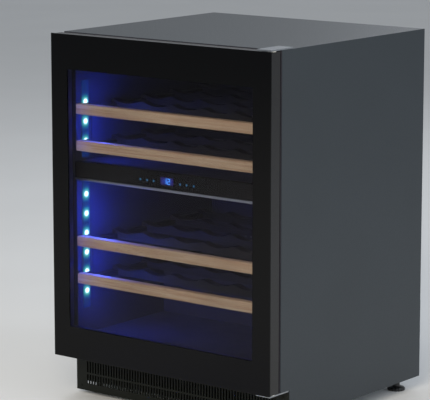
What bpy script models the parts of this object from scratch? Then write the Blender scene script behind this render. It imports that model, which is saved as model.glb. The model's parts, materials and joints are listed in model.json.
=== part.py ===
"""A built-under wine cooler with two temperature zones, as an assembly of separate pieces.

Units are metres and +Z is up. The origin is on the floor under the middle of the cooler, the
door faces -Y, and +X is to the right of someone who stands before the door.
"""

import math

import bmesh
import bpy
from mathutils import Matrix, Vector

# Overall sizes.
WIDTH = 0.594
DEPTH = 0.570
DOOR_BOTTOM = 0.100
DOOR_HEIGHT = 0.716
SIDE_REVEAL = 0.002
GAP = 0.0003
OVERCUT = 0.010

# Door: outer glass, frame, sealed glass unit and gasket.
GLASS = 0.004
SPACER_DEPTH = 0.012
SPACER_WIDTH = 0.0135
SIDE_BORDER = 0.045
TOP_BORDER = 0.076
BOTTOM_BORDER = 0.070
FRAME_REVEAL = 0.0015
FRAME_LIP = 0.0143
LEDGE_WIDTH = 0.0017
LEDGE_BACK = 0.022
FRAME_BACK = 0.034
GASKET_WIDTH = 0.018
GASKET_INSET = 0.009
GASKET_SETBACK_BOTTOM = 0.016
GASKET_SETBACK_TOP = 0.014
DOOR_SPACE = 0.040

# Hinge.
PIVOT_INSET = 0.0095
PIVOT_DEPTH = 0.018
PIN_RADIUS = 0.004
PIN_LENGTH = 0.018
BUSH_WALL = 0.0022
SOCKET_SPARE = 0.002
BUSH_FLANGE_RADIUS = 0.008
BRACKET = 0.003
BRACKET_WIDTH = 0.036
BRACKET_FRONT = 0.006
BRACKET_REACH = 0.074

# Cabinet walls.
SHEET = 0.001
FOLD_WIDTH = 0.014
FLANGE = 0.0012
LINER_WALL = 0.002
SIDE_FOAM = 0.030
TOP_WALL = 0.040
FLOOR_WALL = 0.042
BACK_FOAM = 0.0455
HUMP_FOAM = 0.042

# Compressor compartment, base, plinth and feet.
SPACE_DEPTH = 0.185
SPACE_TOP = 0.195
BASE_UNDERSIDE = 0.030
BASE = 0.0015
PLINTH_SETBACK = 0.070
PLINTH = 0.0027
PLINTH_BOTTOM = 0.008
PLINTH_TOP = 0.094
SLOT_PITCH = 0.0077
SLOT_WIDTH = 0.0042
SLOT_ROWS = ((0.024, 0.046), (0.050, 0.076))
SLOT_MARGIN = 0.030
FOOT_RADIUS = 0.020
FOOT_PAD = 0.008
STEM_RADIUS = 0.005
STEM_ABOVE = 0.014
COLLAR_RADIUS = 0.008
FOOT_INSET_X = 0.035
FOOT_INSET_Y = 0.040

# Zones and shelves. Shelf heights are from the underside of the divider up, or down from it.
DIVIDER_UNDERSIDE = 0.499
DIVIDER = 0.035
PANEL_DEPTH = 0.017
PANEL_WALL = 0.002
PANEL_EDGE = 0.0015
PANEL_SIDE_GAP = 0.002
DISPLAY_WIDTH = 0.035
DISPLAY_HEIGHT = 0.016
DISPLAY_DEPTH = 0.009
BOARD = (0.150, 0.0016, 0.024)
SHELF_SIDE_GAP = 0.006
SHELF_PROUD = 0.008
STRIP_DEPTH = 0.018
STRIP_HEIGHT = 0.023
STRIP_EDGE = 0.0018
SHELVES_ABOVE = (0.1393, 0.0585)
SHELVES_BELOW = (0.1540, 0.2375)
RACK_BACK_GAP = 0.007
BAR_WIDTH = 0.015
BAR_HEIGHT = 0.012
SLAT_COUNT = 5
SLAT_DEPTH = 0.020
SLAT_HEIGHT = 0.021
CRADLES = 6
CRADLE_DEPTH = 0.008
CRADLE_LAND = 0.010
CRADLE_STEPS = 4
SUPPORT_WALL = 0.002
LEDGE_REACH = 0.012
LEDGE = 0.003
SUPPORT_FRONT = 0.050
SUPPORT_MARGIN = 0.012

# Light strips on the left wall.
LIGHT = 0.003
LIGHT_WIDTH = 0.022
LIGHT_FRONT = 0.017
LIGHT_TOP_ABOVE = 0.210
LIGHT_GAP = 0.005
LIGHT_FLOOR_GAP = 0.058

# Air ducts, evaporators and fans.
DUCT_WIDTH = 0.400
DUCT_DEPTH = 0.035
DUCT_WALL = 0.002
DUCT_HEIGHT = 0.190
DUCT_GAP = 0.011
FAN_RADIUS = 0.040
FAN_HUB = 0.015
FAN_LENGTH = 0.010
BLADES = 5
BLADE = 0.0015
BLADE_PITCH = math.radians(32)
FAN_FRONT_GAP = 0.003
FAN_TOP_GAP = 0.010
SHAFT_RADIUS = 0.002
BORE_CLEARANCE = 0.0003
MOTOR_RADIUS = 0.016
MOTOR_GAP = 0.002
SHAFT_PROUD = 0.001
EVAPORATOR = (0.340, 0.002, 0.080)
EVAPORATOR_TUBE = 0.0034
EVAPORATOR_PASSES = 4
GUARD_BAR = 0.005
GUARD_MARGIN = 0.002
GUARD_SLOTS = 3
INTAKE_SLOTS = 12
INTAKE = (0.010, 0.030)
SENSOR_RADIUS = 0.006
SENSOR_LENGTH = 0.012
SENSOR_DEPTH = 0.260
SENSOR_HEIGHT = 0.170

# Refrigeration machinery in the compartment.
COMPRESSOR_RADIUS = 0.066
COMPRESSOR_X = 0.115
COMPRESSOR_BOTTOM = 0.045
COMPRESSOR_TOP = 0.160
DOME_SHARE = 0.30
DOME_STEPS = 5
FOOT_PLATE = (0.160, 0.120, 0.003)
FOOT_PLATE_RISE = 0.004
GROMMET_RADIUS = 0.010
GROMMET_INSET = 0.014
TERMINAL_COVER = (0.026, 0.048, 0.045)
CONDENSER_X = -0.185
CONDENSER = (0.060, 0.090, 0.140)
CONDENSER_TUBE = 0.004
CONDENSER_PASSES = 4
CONDENSER_BACKWARD = 0.010
INLET_REACH = 0.020
OUTLET_REACH = 0.044
OUTLET_TURN = 0.014
TUBE_BEND = 0.010
FIN_COUNT = 6
FIN = 0.0012
SHROUD = (0.026, 0.130, 0.130)
SHROUD_X = -0.132
SHROUD_WALL = 0.006
STRUT = 0.010
STRUT_DEPTH = 0.004
FAN_BEFORE_MIDDLE = 0.003
COOLING_FAN_RADIUS = 0.055
LINE_RADIUS = 0.003
LINE_HEIGHT = 0.100
LINE_ASIDE = 0.030
LINE_BEND = 0.009
LINE_FROM_FRONT = 0.012
DRIER_RADIUS = 0.009
DRIER_LENGTH = 0.090
DRIER_SHOULDER = 0.012
DRAIN_X = 0.120
DRAIN_FROM_BACK = 0.022
DRAIN_RADIUS = 0.006
DRAIN_BORE = 0.004
TRAY = (0.130, 0.100, 0.018)
TRAY_WALL = 0.002
COVER = 0.0012
COVER_OVERLAP = 0.010
VENT_COUNT = 16
VENT = (0.008, 0.036)
VENT_ROWS = (0.085, 0.135)
VENT_MARGIN = 0.050
INLET = (0.030, 0.014, 0.022)
INLET_WALL = 0.003
INLET_INSET = 0.060
INLET_HEIGHT = 0.060

# Places that follow from the sizes above.
FRONT = -DEPTH / 2
BACK = DEPTH / 2
DOOR_TOP = DOOR_BOTTOM + DOOR_HEIGHT
CABINET = WIDTH / 2 - SIDE_REVEAL
CABINET_TOP = DOOR_TOP
CABINET_FRONT = FRONT + DOOR_SPACE
CABINET_BACK = BACK - COVER - GAP
FOLD_FRONT = CABINET_FRONT + FLANGE + GAP
INNER = CABINET - SHEET
CAVITY = INNER - SIDE_FOAM - LINER_WALL
CAVITY_FLOOR = DOOR_BOTTOM + FLOOR_WALL
CAVITY_TOP = CABINET_TOP - TOP_WALL
CAVITY_BACK = CABINET_BACK - SHEET - BACK_FOAM - LINER_WALL
SPACE_FRONT = CABINET_BACK - SPACE_DEPTH
HUMP_FRONT = SPACE_FRONT - HUMP_FOAM - LINER_WALL
HUMP_TOP = SPACE_TOP + SHEET + HUMP_FOAM + LINER_WALL
DIVIDER_TOP = DIVIDER_UNDERSIDE + DIVIDER
BASE_TOP = BASE_UNDERSIDE + BASE
PIVOT_X = WIDTH / 2 - PIVOT_INSET
PIVOT_Y = FRONT + PIVOT_DEPTH
BUSH_RADIUS = PIN_RADIUS + BORE_CLEARANCE + BUSH_WALL
WINDOW_HALF = WIDTH / 2 - SIDE_BORDER
WINDOW = (-WINDOW_HALF, DOOR_BOTTOM + BOTTOM_BORDER, WINDOW_HALF, DOOR_TOP - TOP_BORDER)
SHELF_HALF = CAVITY - SHELF_SIDE_GAP
SHELF_FRONT = CABINET_FRONT - SHELF_PROUD
RACK_FRONT = SHELF_FRONT + STRIP_DEPTH + GAP
DUCT_FRONT = CAVITY_BACK - GAP - DUCT_DEPTH
RACK_BACK = DUCT_FRONT - RACK_BACK_GAP
SHELF_FLOORS = [DIVIDER_UNDERSIDE + rise for rise in SHELVES_ABOVE]
SHELF_FLOORS += [DIVIDER_UNDERSIDE - drop for drop in SHELVES_BELOW]
DUCT_FLOORS = (DIVIDER_TOP + DUCT_GAP, DIVIDER_UNDERSIDE - DUCT_GAP - DUCT_HEIGHT)
SPACE_MIDDLE = (SPACE_FRONT + CABINET_BACK) / 2
CONDENSER_MIDDLE = SPACE_MIDDLE + CONDENSER_BACKWARD

CORNERS = ((-1, -1), (1, -1), (-1, 1), (1, 1))
ROUND_STEPS = 20
SMALL_STEPS = 12
SMOOTH_ANGLE = math.radians(35)


def clear_scene():
    for obj in list(bpy.data.objects):
        bpy.data.objects.remove(obj, do_unlink=True)


def new_collection(name):
    collection = bpy.data.collections.new(name)
    bpy.context.scene.collection.children.link(collection)
    return collection


def finish(name, color, roughness, metallic=0.0, alpha=1.0):
    """A Principled BSDF material."""
    made = bpy.data.materials.new(name)
    made.use_nodes = True
    shader = made.node_tree.nodes["Principled BSDF"]
    shader.inputs["Base Color"].default_value = (*color, 1.0)
    shader.inputs["Roughness"].default_value = roughness
    shader.inputs["Metallic"].default_value = metallic
    shader.inputs["Alpha"].default_value = alpha
    return made


def place(name, data, look, home=None):
    obj = bpy.data.objects.new(name, data)
    (home or PARTS).objects.link(obj)
    if look:
        data.materials.append(look)
    return obj


def as_cutter(obj):
    """Moves a tool of a Boolean out of the parts."""
    PARTS.objects.unlink(obj)
    CUTTERS.objects.link(obj)
    obj.hide_render = True
    obj.display_type = "WIRE"


def boolean(obj, tool, operation):
    as_cutter(tool)
    change = obj.modifiers.new(tool.name, "BOOLEAN")
    change.operation = operation
    change.solver = "EXACT"
    change.object = tool


def cut(obj, *tools):
    for tool in tools:
        boolean(obj, tool, "DIFFERENCE")
    return obj


def join(obj, *tools):
    for tool in tools:
        boolean(obj, tool, "UNION")
    return obj


def cubes(name, corners, look=None):
    """One mesh of separate boxes, each given by its lowest and highest corner."""
    mesh = bpy.data.meshes.new(name)
    work = bmesh.new()
    for low, high in corners:
        size = Vector(high) - Vector(low)
        middle = (Vector(high) + Vector(low)) / 2
        where = Matrix.Translation(middle) @ Matrix.Diagonal((*size, 1.0))
        bmesh.ops.create_cube(work, size=1.0, matrix=where)
    work.to_mesh(mesh)
    work.free()
    return place(name, mesh, look)


def box(name, low, high, look=None, edge=0.0, segments=2):
    """A box between two corners, with its edges rounded by `edge`."""
    middle = (Vector(high) + Vector(low)) / 2
    obj = cubes(name, [(Vector(low) - middle, Vector(high) - middle)], look)
    obj.location = middle
    if edge:
        bevel = obj.modifiers.new("rounded_edges", "BEVEL")
        bevel.width = edge
        bevel.segments = segments
    return obj


def as_mesh(curve):
    """Replaces a curve or a turned profile by its welded mesh, shaded smooth between sharp edges."""
    name = curve.name
    curve.name = name + "_curve"
    bpy.context.view_layer.update()
    seen = curve.evaluated_get(bpy.context.evaluated_depsgraph_get())
    mesh = bpy.data.meshes.new_from_object(seen)
    mesh.name = name
    work = bmesh.new()
    work.from_mesh(mesh)
    bmesh.ops.remove_doubles(work, verts=work.verts, dist=1e-6)
    work.to_mesh(mesh)
    work.free()
    mesh.shade_smooth()
    mesh.set_sharp_from_angle(angle=SMOOTH_ANGLE)
    obj = place(name, mesh, None)
    obj.matrix_world = curve.matrix_world
    bpy.data.objects.remove(curve, do_unlink=True)
    return obj


def extruded(name, outlines, axis, low, high, look=None):
    """Flat outlines, the inner ones holes, carried along an axis from low to high.

    Outlines are in Y and Z for axis X, in X and Z for axis Y, and in X and Y for axis Z.
    """
    curve = bpy.data.curves.new(name, "CURVE")
    curve.dimensions = "2D"
    curve.fill_mode = "BOTH"
    curve.extrude = (high - low) / 2
    for outline in outlines:
        spline = curve.splines.new("POLY")
        spline.points.add(len(outline) - 1)
        for point, (across, up) in zip(spline.points, outline):
            point.co = (across, up, 0.0, 1.0)
        spline.use_cyclic_u = True
    columns = {
        "X": ((0, 1, 0), (0, 0, 1), (1, 0, 0)),
        "Y": ((1, 0, 0), (0, 0, 1), (0, -1, 0)),
        "Z": ((1, 0, 0), (0, 1, 0), (0, 0, 1)),
    }[axis]
    middle = (low + high) / 2
    shift = Vector([middle if letter == axis else 0.0 for letter in "XYZ"])
    obj = place(name, curve, look)
    obj.matrix_world = Matrix.Translation(shift) @ Matrix(columns).transposed().to_4x4()
    return as_mesh(obj)


def rectangle(x0, z0, x1, z1):
    return [(x0, z0), (x1, z0), (x1, z1), (x0, z1)]


def grown(rect, by):
    x0, z0, x1, z1 = rect
    return rectangle(x0 - by, z0 - by, x1 + by, z1 + by)


def turned(name, profile, axis, centre, look=None, steps=ROUND_STEPS, closed=False):
    """A profile of (radius, height) turned round an axis, listed down its outer side."""
    mesh = bpy.data.meshes.new(name)
    edges = [(i, i + 1) for i in range(len(profile) - 1)]
    if closed:
        edges.append((len(profile) - 1, 0))
    mesh.from_pydata([(radius, 0.0, height) for radius, height in profile], edges, [])
    obj = place(name, mesh, look)
    screw = obj.modifiers.new("turned", "SCREW")
    screw.steps = steps
    screw.render_steps = steps
    screw.use_merge_vertices = True
    screw.merge_threshold = 1e-5
    obj.location = centre
    quarter = math.radians(90)
    obj.rotation_euler = {"X": (0, quarter, 0), "Y": (-quarter, 0, 0), "Z": (0, 0, 0)}[axis]
    return as_mesh(obj)


def cylinder(name, radius, low, high, axis, centre, look=None, steps=ROUND_STEPS):
    profile = [(0.0, high), (radius, high), (radius, low), (0.0, low)]
    return turned(name, profile, axis, centre, look, steps)


def ring(name, outer, inner, low, high, axis, centre, look=None, steps=ROUND_STEPS):
    profile = [(outer, high), (outer, low), (inner, low), (inner, high)]
    return turned(name, profile, axis, centre, look, steps, closed=True)


def tube(name, points, radius, look=None):
    curve = bpy.data.curves.new(name, "CURVE")
    curve.dimensions = "3D"
    curve.bevel_depth = radius
    curve.bevel_resolution = 2
    curve.use_fill_caps = True
    spline = curve.splines.new("POLY")
    spline.points.add(len(points) - 1)
    for point, place_of in zip(spline.points, points):
        point.co = (*place_of, 1.0)
    return as_mesh(place(name, curve, look))


def rounded(corners, radius, steps=4):
    """A route through corners, each rounded by a curve that starts `radius` before it."""
    corners = [Vector(corner) for corner in corners]
    route = [corners[0]]
    for before, corner, after in zip(corners, corners[1:], corners[2:]):
        start = corner + (before - corner).normalized() * radius
        end = corner + (after - corner).normalized() * radius
        for step in range(steps + 1):
            t = step / steps
            route.append(start * (1 - t) ** 2 + corner * 2 * t * (1 - t) + end * t * t)
    route.append(corners[-1])
    return route


def serpentine(half_length, top, pitch, passes, steps=4):
    """Points (along, up) of a tube that runs to and fro, one pass below the other."""
    route = [(-half_length, top)]
    for number in range(passes):
        side = 1 if number % 2 == 0 else -1
        up = top - number * pitch
        route.append((side * half_length, up))
        if number == passes - 1:
            break
        for step in range(1, steps):
            turn = math.pi * step / steps
            along = side * (half_length + math.sin(turn) * pitch / 2)
            route.append((along, up - pitch / 2 + math.cos(turn) * pitch / 2))
        route.append((side * half_length, up - pitch))
    return route


def colored(obj, look):
    obj.data.materials.clear()
    obj.data.materials.append(look)
    return obj


def carrier(name, where):
    """An empty on a joint's axis, which carries the pieces that move there."""
    empty = bpy.data.objects.new(name, None)
    PARTS.objects.link(empty)
    empty.location = where
    return empty


def carry(empty, pieces):
    bpy.context.view_layer.update()
    for piece in pieces:
        keep = piece.matrix_world.copy()
        piece.parent = empty
        piece.matrix_parent_inverse = empty.matrix_world.inverted()
        piece.matrix_world = keep


def room_outline(front, grow):
    """The cavity's outline from the side, over the compressor hump, grown outwards by `grow`."""
    return [
        (front, CAVITY_FLOOR - grow),
        (HUMP_FRONT + grow, CAVITY_FLOOR - grow),
        (HUMP_FRONT + grow, HUMP_TOP - grow),
        (CAVITY_BACK + grow, HUMP_TOP - grow),
        (CAVITY_BACK + grow, CAVITY_TOP + grow),
        (front, CAVITY_TOP + grow),
    ]


def outer_wrapper(look):
    """Two sides and a top folded from one sheet, with a narrow fold round the front."""
    low = (-CABINET, FOLD_FRONT, BASE_UNDERSIDE)
    shell = box("outer_wrapper", low, (CABINET, CABINET_BACK, CABINET_TOP), look)
    inside_low = (-INNER, FOLD_FRONT + SHEET, BASE_UNDERSIDE - OVERCUT)
    inside = box("wrapper_inside", inside_low, (INNER, BACK + OVERCUT, CABINET_TOP - SHEET))
    half = CABINET - FOLD_WIDTH
    mouth_high = (half, FOLD_FRONT + SHEET + OVERCUT, CABINET_TOP - FOLD_WIDTH)
    mouth = box("wrapper_mouth", (-half, FRONT, BASE_UNDERSIDE - 2 * OVERCUT), mouth_high)
    notch_back = FRONT + PLINTH_SETBACK + PLINTH + GAP
    notch_low = (-WIDTH, FRONT, BASE_UNDERSIDE - 3 * OVERCUT / 2)
    notch = box("wrapper_notch", notch_low, (WIDTH, notch_back, DOOR_BOTTOM))
    return cut(shell, inside, mouth, notch)


def back_panel(look):
    low = (-INNER + GAP, CABINET_BACK - SHEET, SPACE_TOP + SHEET + GAP)
    return box("back_panel", low, (INNER - GAP, CABINET_BACK, CABINET_TOP - SHEET - GAP), look)


def foot_place(right, back):
    front_y = FRONT + PLINTH_SETBACK + FOOT_INSET_Y
    rear_y = CABINET_BACK - FOOT_INSET_Y
    return (right * (CABINET - FOOT_INSET_X), rear_y if back > 0 else front_y, 0.0)


def base_plate(look):
    """A sheet floor with a hole for the stem of each levelling foot."""
    low = (-INNER + GAP, FRONT + PLINTH_SETBACK + PLINTH + GAP, BASE_UNDERSIDE)
    plate = box("base_plate", low, (INNER - GAP, CABINET_BACK, BASE_TOP), look)
    for index, (right, back) in enumerate(CORNERS):
        name = f"stem_hole_{index}"
        radius = STEM_RADIUS + BORE_CLEARANCE
        low = BASE_UNDERSIDE - OVERCUT
        where = foot_place(right, back)
        cut(plate, cylinder(name, radius, low, BASE_TOP + OVERCUT, "Z", where, steps=SMALL_STEPS))
    return plate


def insulation_pan(look):
    """The sheet under the insulated box, stepped up over the compressor compartment."""
    front = FOLD_FRONT + SHEET + GAP
    outline = [
        (front, DOOR_BOTTOM),
        (SPACE_FRONT, DOOR_BOTTOM),
        (SPACE_FRONT, SPACE_TOP),
        (CABINET_BACK, SPACE_TOP),
        (CABINET_BACK, SPACE_TOP + SHEET),
        (SPACE_FRONT - SHEET, SPACE_TOP + SHEET),
        (SPACE_FRONT - SHEET, DOOR_BOTTOM + SHEET),
        (front, DOOR_BOTTOM + SHEET),
    ]
    pan = colored(extruded("insulation_pan", [outline], "X", -INNER + GAP, INNER - GAP), look)
    return cut(pan, drain_hole("pan_drain_hole"))


def drain_place():
    return (DRAIN_X, CAVITY_BACK - DRAIN_FROM_BACK, 0.0)


def drain_hole(name):
    radius = DRAIN_RADIUS + GAP
    high = HUMP_TOP + OVERCUT
    return cylinder(name, radius, SPACE_TOP - OVERCUT, high, "Z", drain_place(), steps=SMALL_STEPS)


def foam_insulation(look):
    front = FOLD_FRONT + SHEET + GAP
    step = SPACE_FRONT - SHEET - GAP
    back = CABINET_BACK - SHEET - GAP
    outline = [
        (front, DOOR_BOTTOM + SHEET + GAP),
        (step, DOOR_BOTTOM + SHEET + GAP),
        (step, SPACE_TOP + SHEET + GAP),
        (back, SPACE_TOP + SHEET + GAP),
        (back, CABINET_TOP - SHEET - GAP),
        (front, CABINET_TOP - SHEET - GAP),
    ]
    foam = colored(extruded("foam_insulation", [outline], "X", -INNER + GAP, INNER - GAP), look)
    half = CAVITY + LINER_WALL + GAP
    room = extruded("foam_room", [room_outline(FRONT, LINER_WALL + GAP)], "X", -half, half)
    return cut(foam, room, drain_hole("foam_drain_hole"))


def inner_liner(look):
    """A thin-walled tub with a flange that covers the front of the foam."""
    front = CABINET_FRONT + FLANGE / 2
    half = CAVITY + LINER_WALL
    shell = extruded("inner_liner", [room_outline(front, LINER_WALL)], "X", -half, half)
    flange = box(
        "liner_flange",
        (-INNER, CABINET_FRONT, DOOR_BOTTOM + SHEET + GAP),
        (INNER, CABINET_FRONT + FLANGE, CABINET_TOP - SHEET),
    )
    room = extruded("liner_room", [room_outline(FRONT, 0.0)], "X", -CAVITY, CAVITY)
    low = HUMP_TOP - OVERCUT
    high = HUMP_TOP + OVERCUT
    hole = cylinder("liner_drain_hole", DRAIN_BORE, low, high, "Z", drain_place(), steps=SMALL_STEPS)
    return colored(cut(join(shell, flange), room, hole), look)


def zone_divider(look):
    low = (-CAVITY + GAP, SHELF_FRONT + PANEL_DEPTH, DIVIDER_UNDERSIDE + PANEL_WALL)
    return box("zone_divider", low, (CAVITY - GAP, CAVITY_BACK - GAP, DIVIDER_TOP - PANEL_WALL), look)


def control_panel(look):
    """A hollow front cover of the divider with an opening for the display."""
    half = CAVITY - PANEL_SIDE_GAP
    front = SHELF_FRONT - GAP
    back = SHELF_FRONT + PANEL_DEPTH - GAP
    low = (-half, front, DIVIDER_UNDERSIDE)
    panel = box("control_panel", low, (half, back, DIVIDER_TOP), look, PANEL_EDGE)
    pocket_low = (-half + PANEL_WALL, front + PANEL_WALL, DIVIDER_UNDERSIDE + PANEL_WALL)
    pocket = box("panel_pocket", pocket_low, (half - PANEL_WALL, back + OVERCUT, DIVIDER_TOP - PANEL_WALL))
    middle = (DIVIDER_UNDERSIDE + DIVIDER_TOP) / 2
    wide = DISPLAY_WIDTH / 2 + GAP
    tall = DISPLAY_HEIGHT / 2 + GAP
    window = box("panel_window", (-wide, FRONT, middle - tall), (wide, back - GAP, middle + tall))
    return cut(panel, pocket, window)


def control_display(look):
    middle = (DIVIDER_UNDERSIDE + DIVIDER_TOP) / 2
    low = (-DISPLAY_WIDTH / 2, SHELF_FRONT, middle - DISPLAY_HEIGHT / 2)
    high = (DISPLAY_WIDTH / 2, SHELF_FRONT + DISPLAY_DEPTH, middle + DISPLAY_HEIGHT / 2)
    return box("control_display", low, high, look)


def control_board(look):
    middle = (DIVIDER_UNDERSIDE + DIVIDER_TOP) / 2
    front = SHELF_FRONT + DISPLAY_DEPTH + GAP
    low = (-BOARD[0] / 2, front, middle - BOARD[2] / 2)
    return box("control_board", low, (BOARD[0] / 2, front + BOARD[1], middle + BOARD[2] / 2), look)


def light_strip(name, bottom, top, look):
    outer = -CAVITY + GAP
    front = CABINET_FRONT + LIGHT_FRONT
    return box(name, (outer, front, bottom), (outer + LIGHT, front + LIGHT_WIDTH, top), look, LIGHT / 3)


def shelf_support(name, side, floors, look):
    """A side rail moulding: a plate on the wall with one ledge under each shelf of its zone."""
    wall = CAVITY - GAP
    face = wall - SUPPORT_WALL
    edge = wall - LEDGE_REACH
    bottom = min(floors) - LEDGE - SUPPORT_MARGIN
    outline = [(wall, bottom), (face, bottom)]
    for floor in sorted(floors):
        high = floor - GAP
        outline += [(face, high - LEDGE), (edge, high - LEDGE), (edge, high), (face, high)]
    top = max(floors) + SUPPORT_MARGIN
    outline += [(face, top), (wall, top)]
    outline = [(side * x, z) for x, z in outline]
    return colored(extruded(name, [outline], "Y", CABINET_FRONT + SUPPORT_FRONT, RACK_BACK), look)


def shelf_front(number, floor, look):
    low = (-SHELF_HALF, SHELF_FRONT, floor)
    high = (SHELF_HALF, SHELF_FRONT + STRIP_DEPTH, floor + STRIP_HEIGHT)
    return box(f"shelf_front_{number}", low, high, look, STRIP_EDGE)


def slat_outline(floor):
    """A slat from the front: flat below, with a row of round cradles for bottles above."""
    pitch = 2 * SHELF_HALF / CRADLES
    half_width = (pitch - CRADLE_LAND) / 2
    radius = (half_width**2 + CRADLE_DEPTH**2) / (2 * CRADLE_DEPTH)
    spread = math.asin(half_width / radius)
    top = floor + SLAT_HEIGHT
    outline = [(-SHELF_HALF, floor), (SHELF_HALF, floor), (SHELF_HALF, top)]
    steps = CRADLE_STEPS
    for number in reversed(range(CRADLES)):
        middle = -SHELF_HALF + pitch * (number + 0.5)
        for step in range(steps + 1):
            angle = spread * (1 - 2 * step / steps)
            drop = radius * math.cos(angle) - (radius - CRADLE_DEPTH)
            outline.append((middle + radius * math.sin(angle), top - drop))
    outline.append((-SHELF_HALF, top))
    return outline


def shelf_rack(number, floor, look):
    """Two side bars joined by cradled slats."""
    inner = SHELF_HALF - BAR_WIDTH
    bars = [
        ((-SHELF_HALF, RACK_FRONT, floor), (-inner, RACK_BACK, floor + BAR_HEIGHT)),
        ((inner, RACK_FRONT, floor), (SHELF_HALF, RACK_BACK, floor + BAR_HEIGHT)),
    ]
    slats = []
    pitch = (RACK_BACK - RACK_FRONT - SLAT_DEPTH) / (SLAT_COUNT - 1)
    for index in range(SLAT_COUNT):
        front = RACK_FRONT + pitch * index
        name = f"rack_{number}_slat_{index}"
        slats.append(extruded(name, [slat_outline(floor)], "Y", front, front + SLAT_DEPTH))
    rack = cubes(f"shelf_rack_{number}", bars, look)
    return join(rack, *slats)


def duct_cover(name, floor, look):
    """A shallow plastic cover, open at the back, with a fan guard above and intake slots below."""
    half = DUCT_WIDTH / 2
    top = floor + DUCT_HEIGHT
    back = DUCT_FRONT + DUCT_DEPTH
    cover = box(name, (-half, DUCT_FRONT, floor), (half, back, top), look)
    inside_low = (-half + DUCT_WALL, DUCT_FRONT + DUCT_WALL, floor + DUCT_WALL)
    inside = box(name + "_inside", inside_low, (half - DUCT_WALL, back + OVERCUT, top - DUCT_WALL))
    middle = top - FAN_RADIUS - FAN_TOP_GAP
    guard = FAN_RADIUS - GUARD_MARGIN
    slots = []
    for index in range(-GUARD_SLOTS, GUARD_SLOTS + 1):
        x = index * 2 * GUARD_BAR
        tall = math.sqrt(guard**2 - x**2)
        slots.append((x, middle - tall, middle + tall))
    for index in range(-INTAKE_SLOTS, INTAKE_SLOTS + 1):
        slots.append((index * 3 * GUARD_BAR, floor + INTAKE[0], floor + INTAKE[1]))
    corners = []
    for x, low, high in slots:
        slot_low = (x - GUARD_BAR / 2, DUCT_FRONT - OVERCUT, low)
        corners.append((slot_low, (x + GUARD_BAR / 2, DUCT_FRONT + DUCT_WALL + OVERCUT / 2, high)))
    return cut(cover, inside, cubes(name + "_slots", corners))


def evaporator(name, floor, look):
    """A roll-bonded plate with its channel raised on the front."""
    plate_back = CAVITY_BACK - GAP
    half = EVAPORATOR[0] / 2
    low = (-half, plate_back - EVAPORATOR[1], floor)
    plate = box(name, low, (half, plate_back, floor + EVAPORATOR[2]), look)
    pitch = EVAPORATOR[2] / EVAPORATOR_PASSES
    centre = plate_back - EVAPORATOR_TUBE - GAP
    run = serpentine(half - pitch, floor + EVAPORATOR[2] - pitch / 2, pitch, EVAPORATOR_PASSES)
    channel = tube(name + "_channel", [(x, centre, z) for x, z in run], EVAPORATOR_TUBE)
    return join(plate, channel)


def blades(name, count, root, tip, length, pitch_angle):
    """Flat blades round the Z axis, tilted by the pitch angle."""
    mesh = bpy.data.meshes.new(name)
    work = bmesh.new()
    chord = length / math.sin(pitch_angle)
    size = Matrix.Diagonal((tip - root, chord, BLADE, 1.0))
    tilt = Matrix.Rotation(pitch_angle, 4, "X")
    outwards = Matrix.Translation(((tip + root) / 2, 0, 0))
    for index in range(count):
        spin = Matrix.Rotation(2 * math.pi * index / count, 4, "Z")
        bmesh.ops.create_cube(work, size=1.0, matrix=spin @ outwards @ tilt @ size)
    work.to_mesh(mesh)
    work.free()
    return place(name, mesh, None)


def fan(name, radius, axis, centre, look):
    """A hub with a bore for its shaft, and its blades."""
    half = FAN_LENGTH / 2
    hub = ring(name, FAN_HUB, SHAFT_RADIUS + BORE_CLEARANCE, -half, half, axis, centre, steps=20)
    root = FAN_HUB - 2 * BLADE
    vanes = blades(name + "_blades", BLADES, root, radius, FAN_LENGTH - 2 * BLADE, BLADE_PITCH)
    vanes.matrix_world = hub.matrix_world
    return colored(join(hub, vanes), look)


def circulation_fan_place(floor):
    y = DUCT_FRONT + DUCT_WALL + FAN_FRONT_GAP + FAN_LENGTH / 2
    return (0.0, y, floor + DUCT_HEIGHT - FAN_RADIUS - FAN_TOP_GAP)


def motor_profile(back):
    """A motor's body up to `back`, and its shaft through the fan, both from the fan's middle."""
    tip = -FAN_LENGTH / 2 - SHAFT_PROUD
    front = FAN_LENGTH / 2 + MOTOR_GAP
    body = [(0.0, back), (MOTOR_RADIUS, back), (MOTOR_RADIUS, front)]
    return body + [(SHAFT_RADIUS, front), (SHAFT_RADIUS, tip), (0.0, tip)]


def fan_motor(name, floor, look):
    """A small motor on the back wall, with its shaft through the fan's hub."""
    x, y, z = circulation_fan_place(floor)
    profile = motor_profile(CAVITY_BACK - GAP - y)
    return turned(name, profile, "Y", (x, y, z), look)


def temperature_sensor(name, height, look):
    """A plastic cap on the right wall."""
    tip = SENSOR_RADIUS * 0.6
    nose = SENSOR_RADIUS / 2 - SENSOR_LENGTH
    end = -SENSOR_LENGTH
    profile = [(0.0, 0.0), (SENSOR_RADIUS, 0.0), (SENSOR_RADIUS, nose), (tip, end), (0.0, end)]
    centre = (CAVITY - GAP, CABINET_FRONT + SENSOR_DEPTH, height)
    return turned(name, profile, "X", centre, look, SMALL_STEPS)


def drain_tube(look):
    top = HUMP_TOP - LINER_WALL - GAP
    bottom = COMPRESSOR_TOP + 2 * TRAY_WALL
    return ring("drain_tube", DRAIN_RADIUS, DRAIN_BORE, bottom, top, "Z", drain_place(), look, SMALL_STEPS)


def compressor_place():
    return (COMPRESSOR_X, SPACE_MIDDLE, 0.0)


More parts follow.
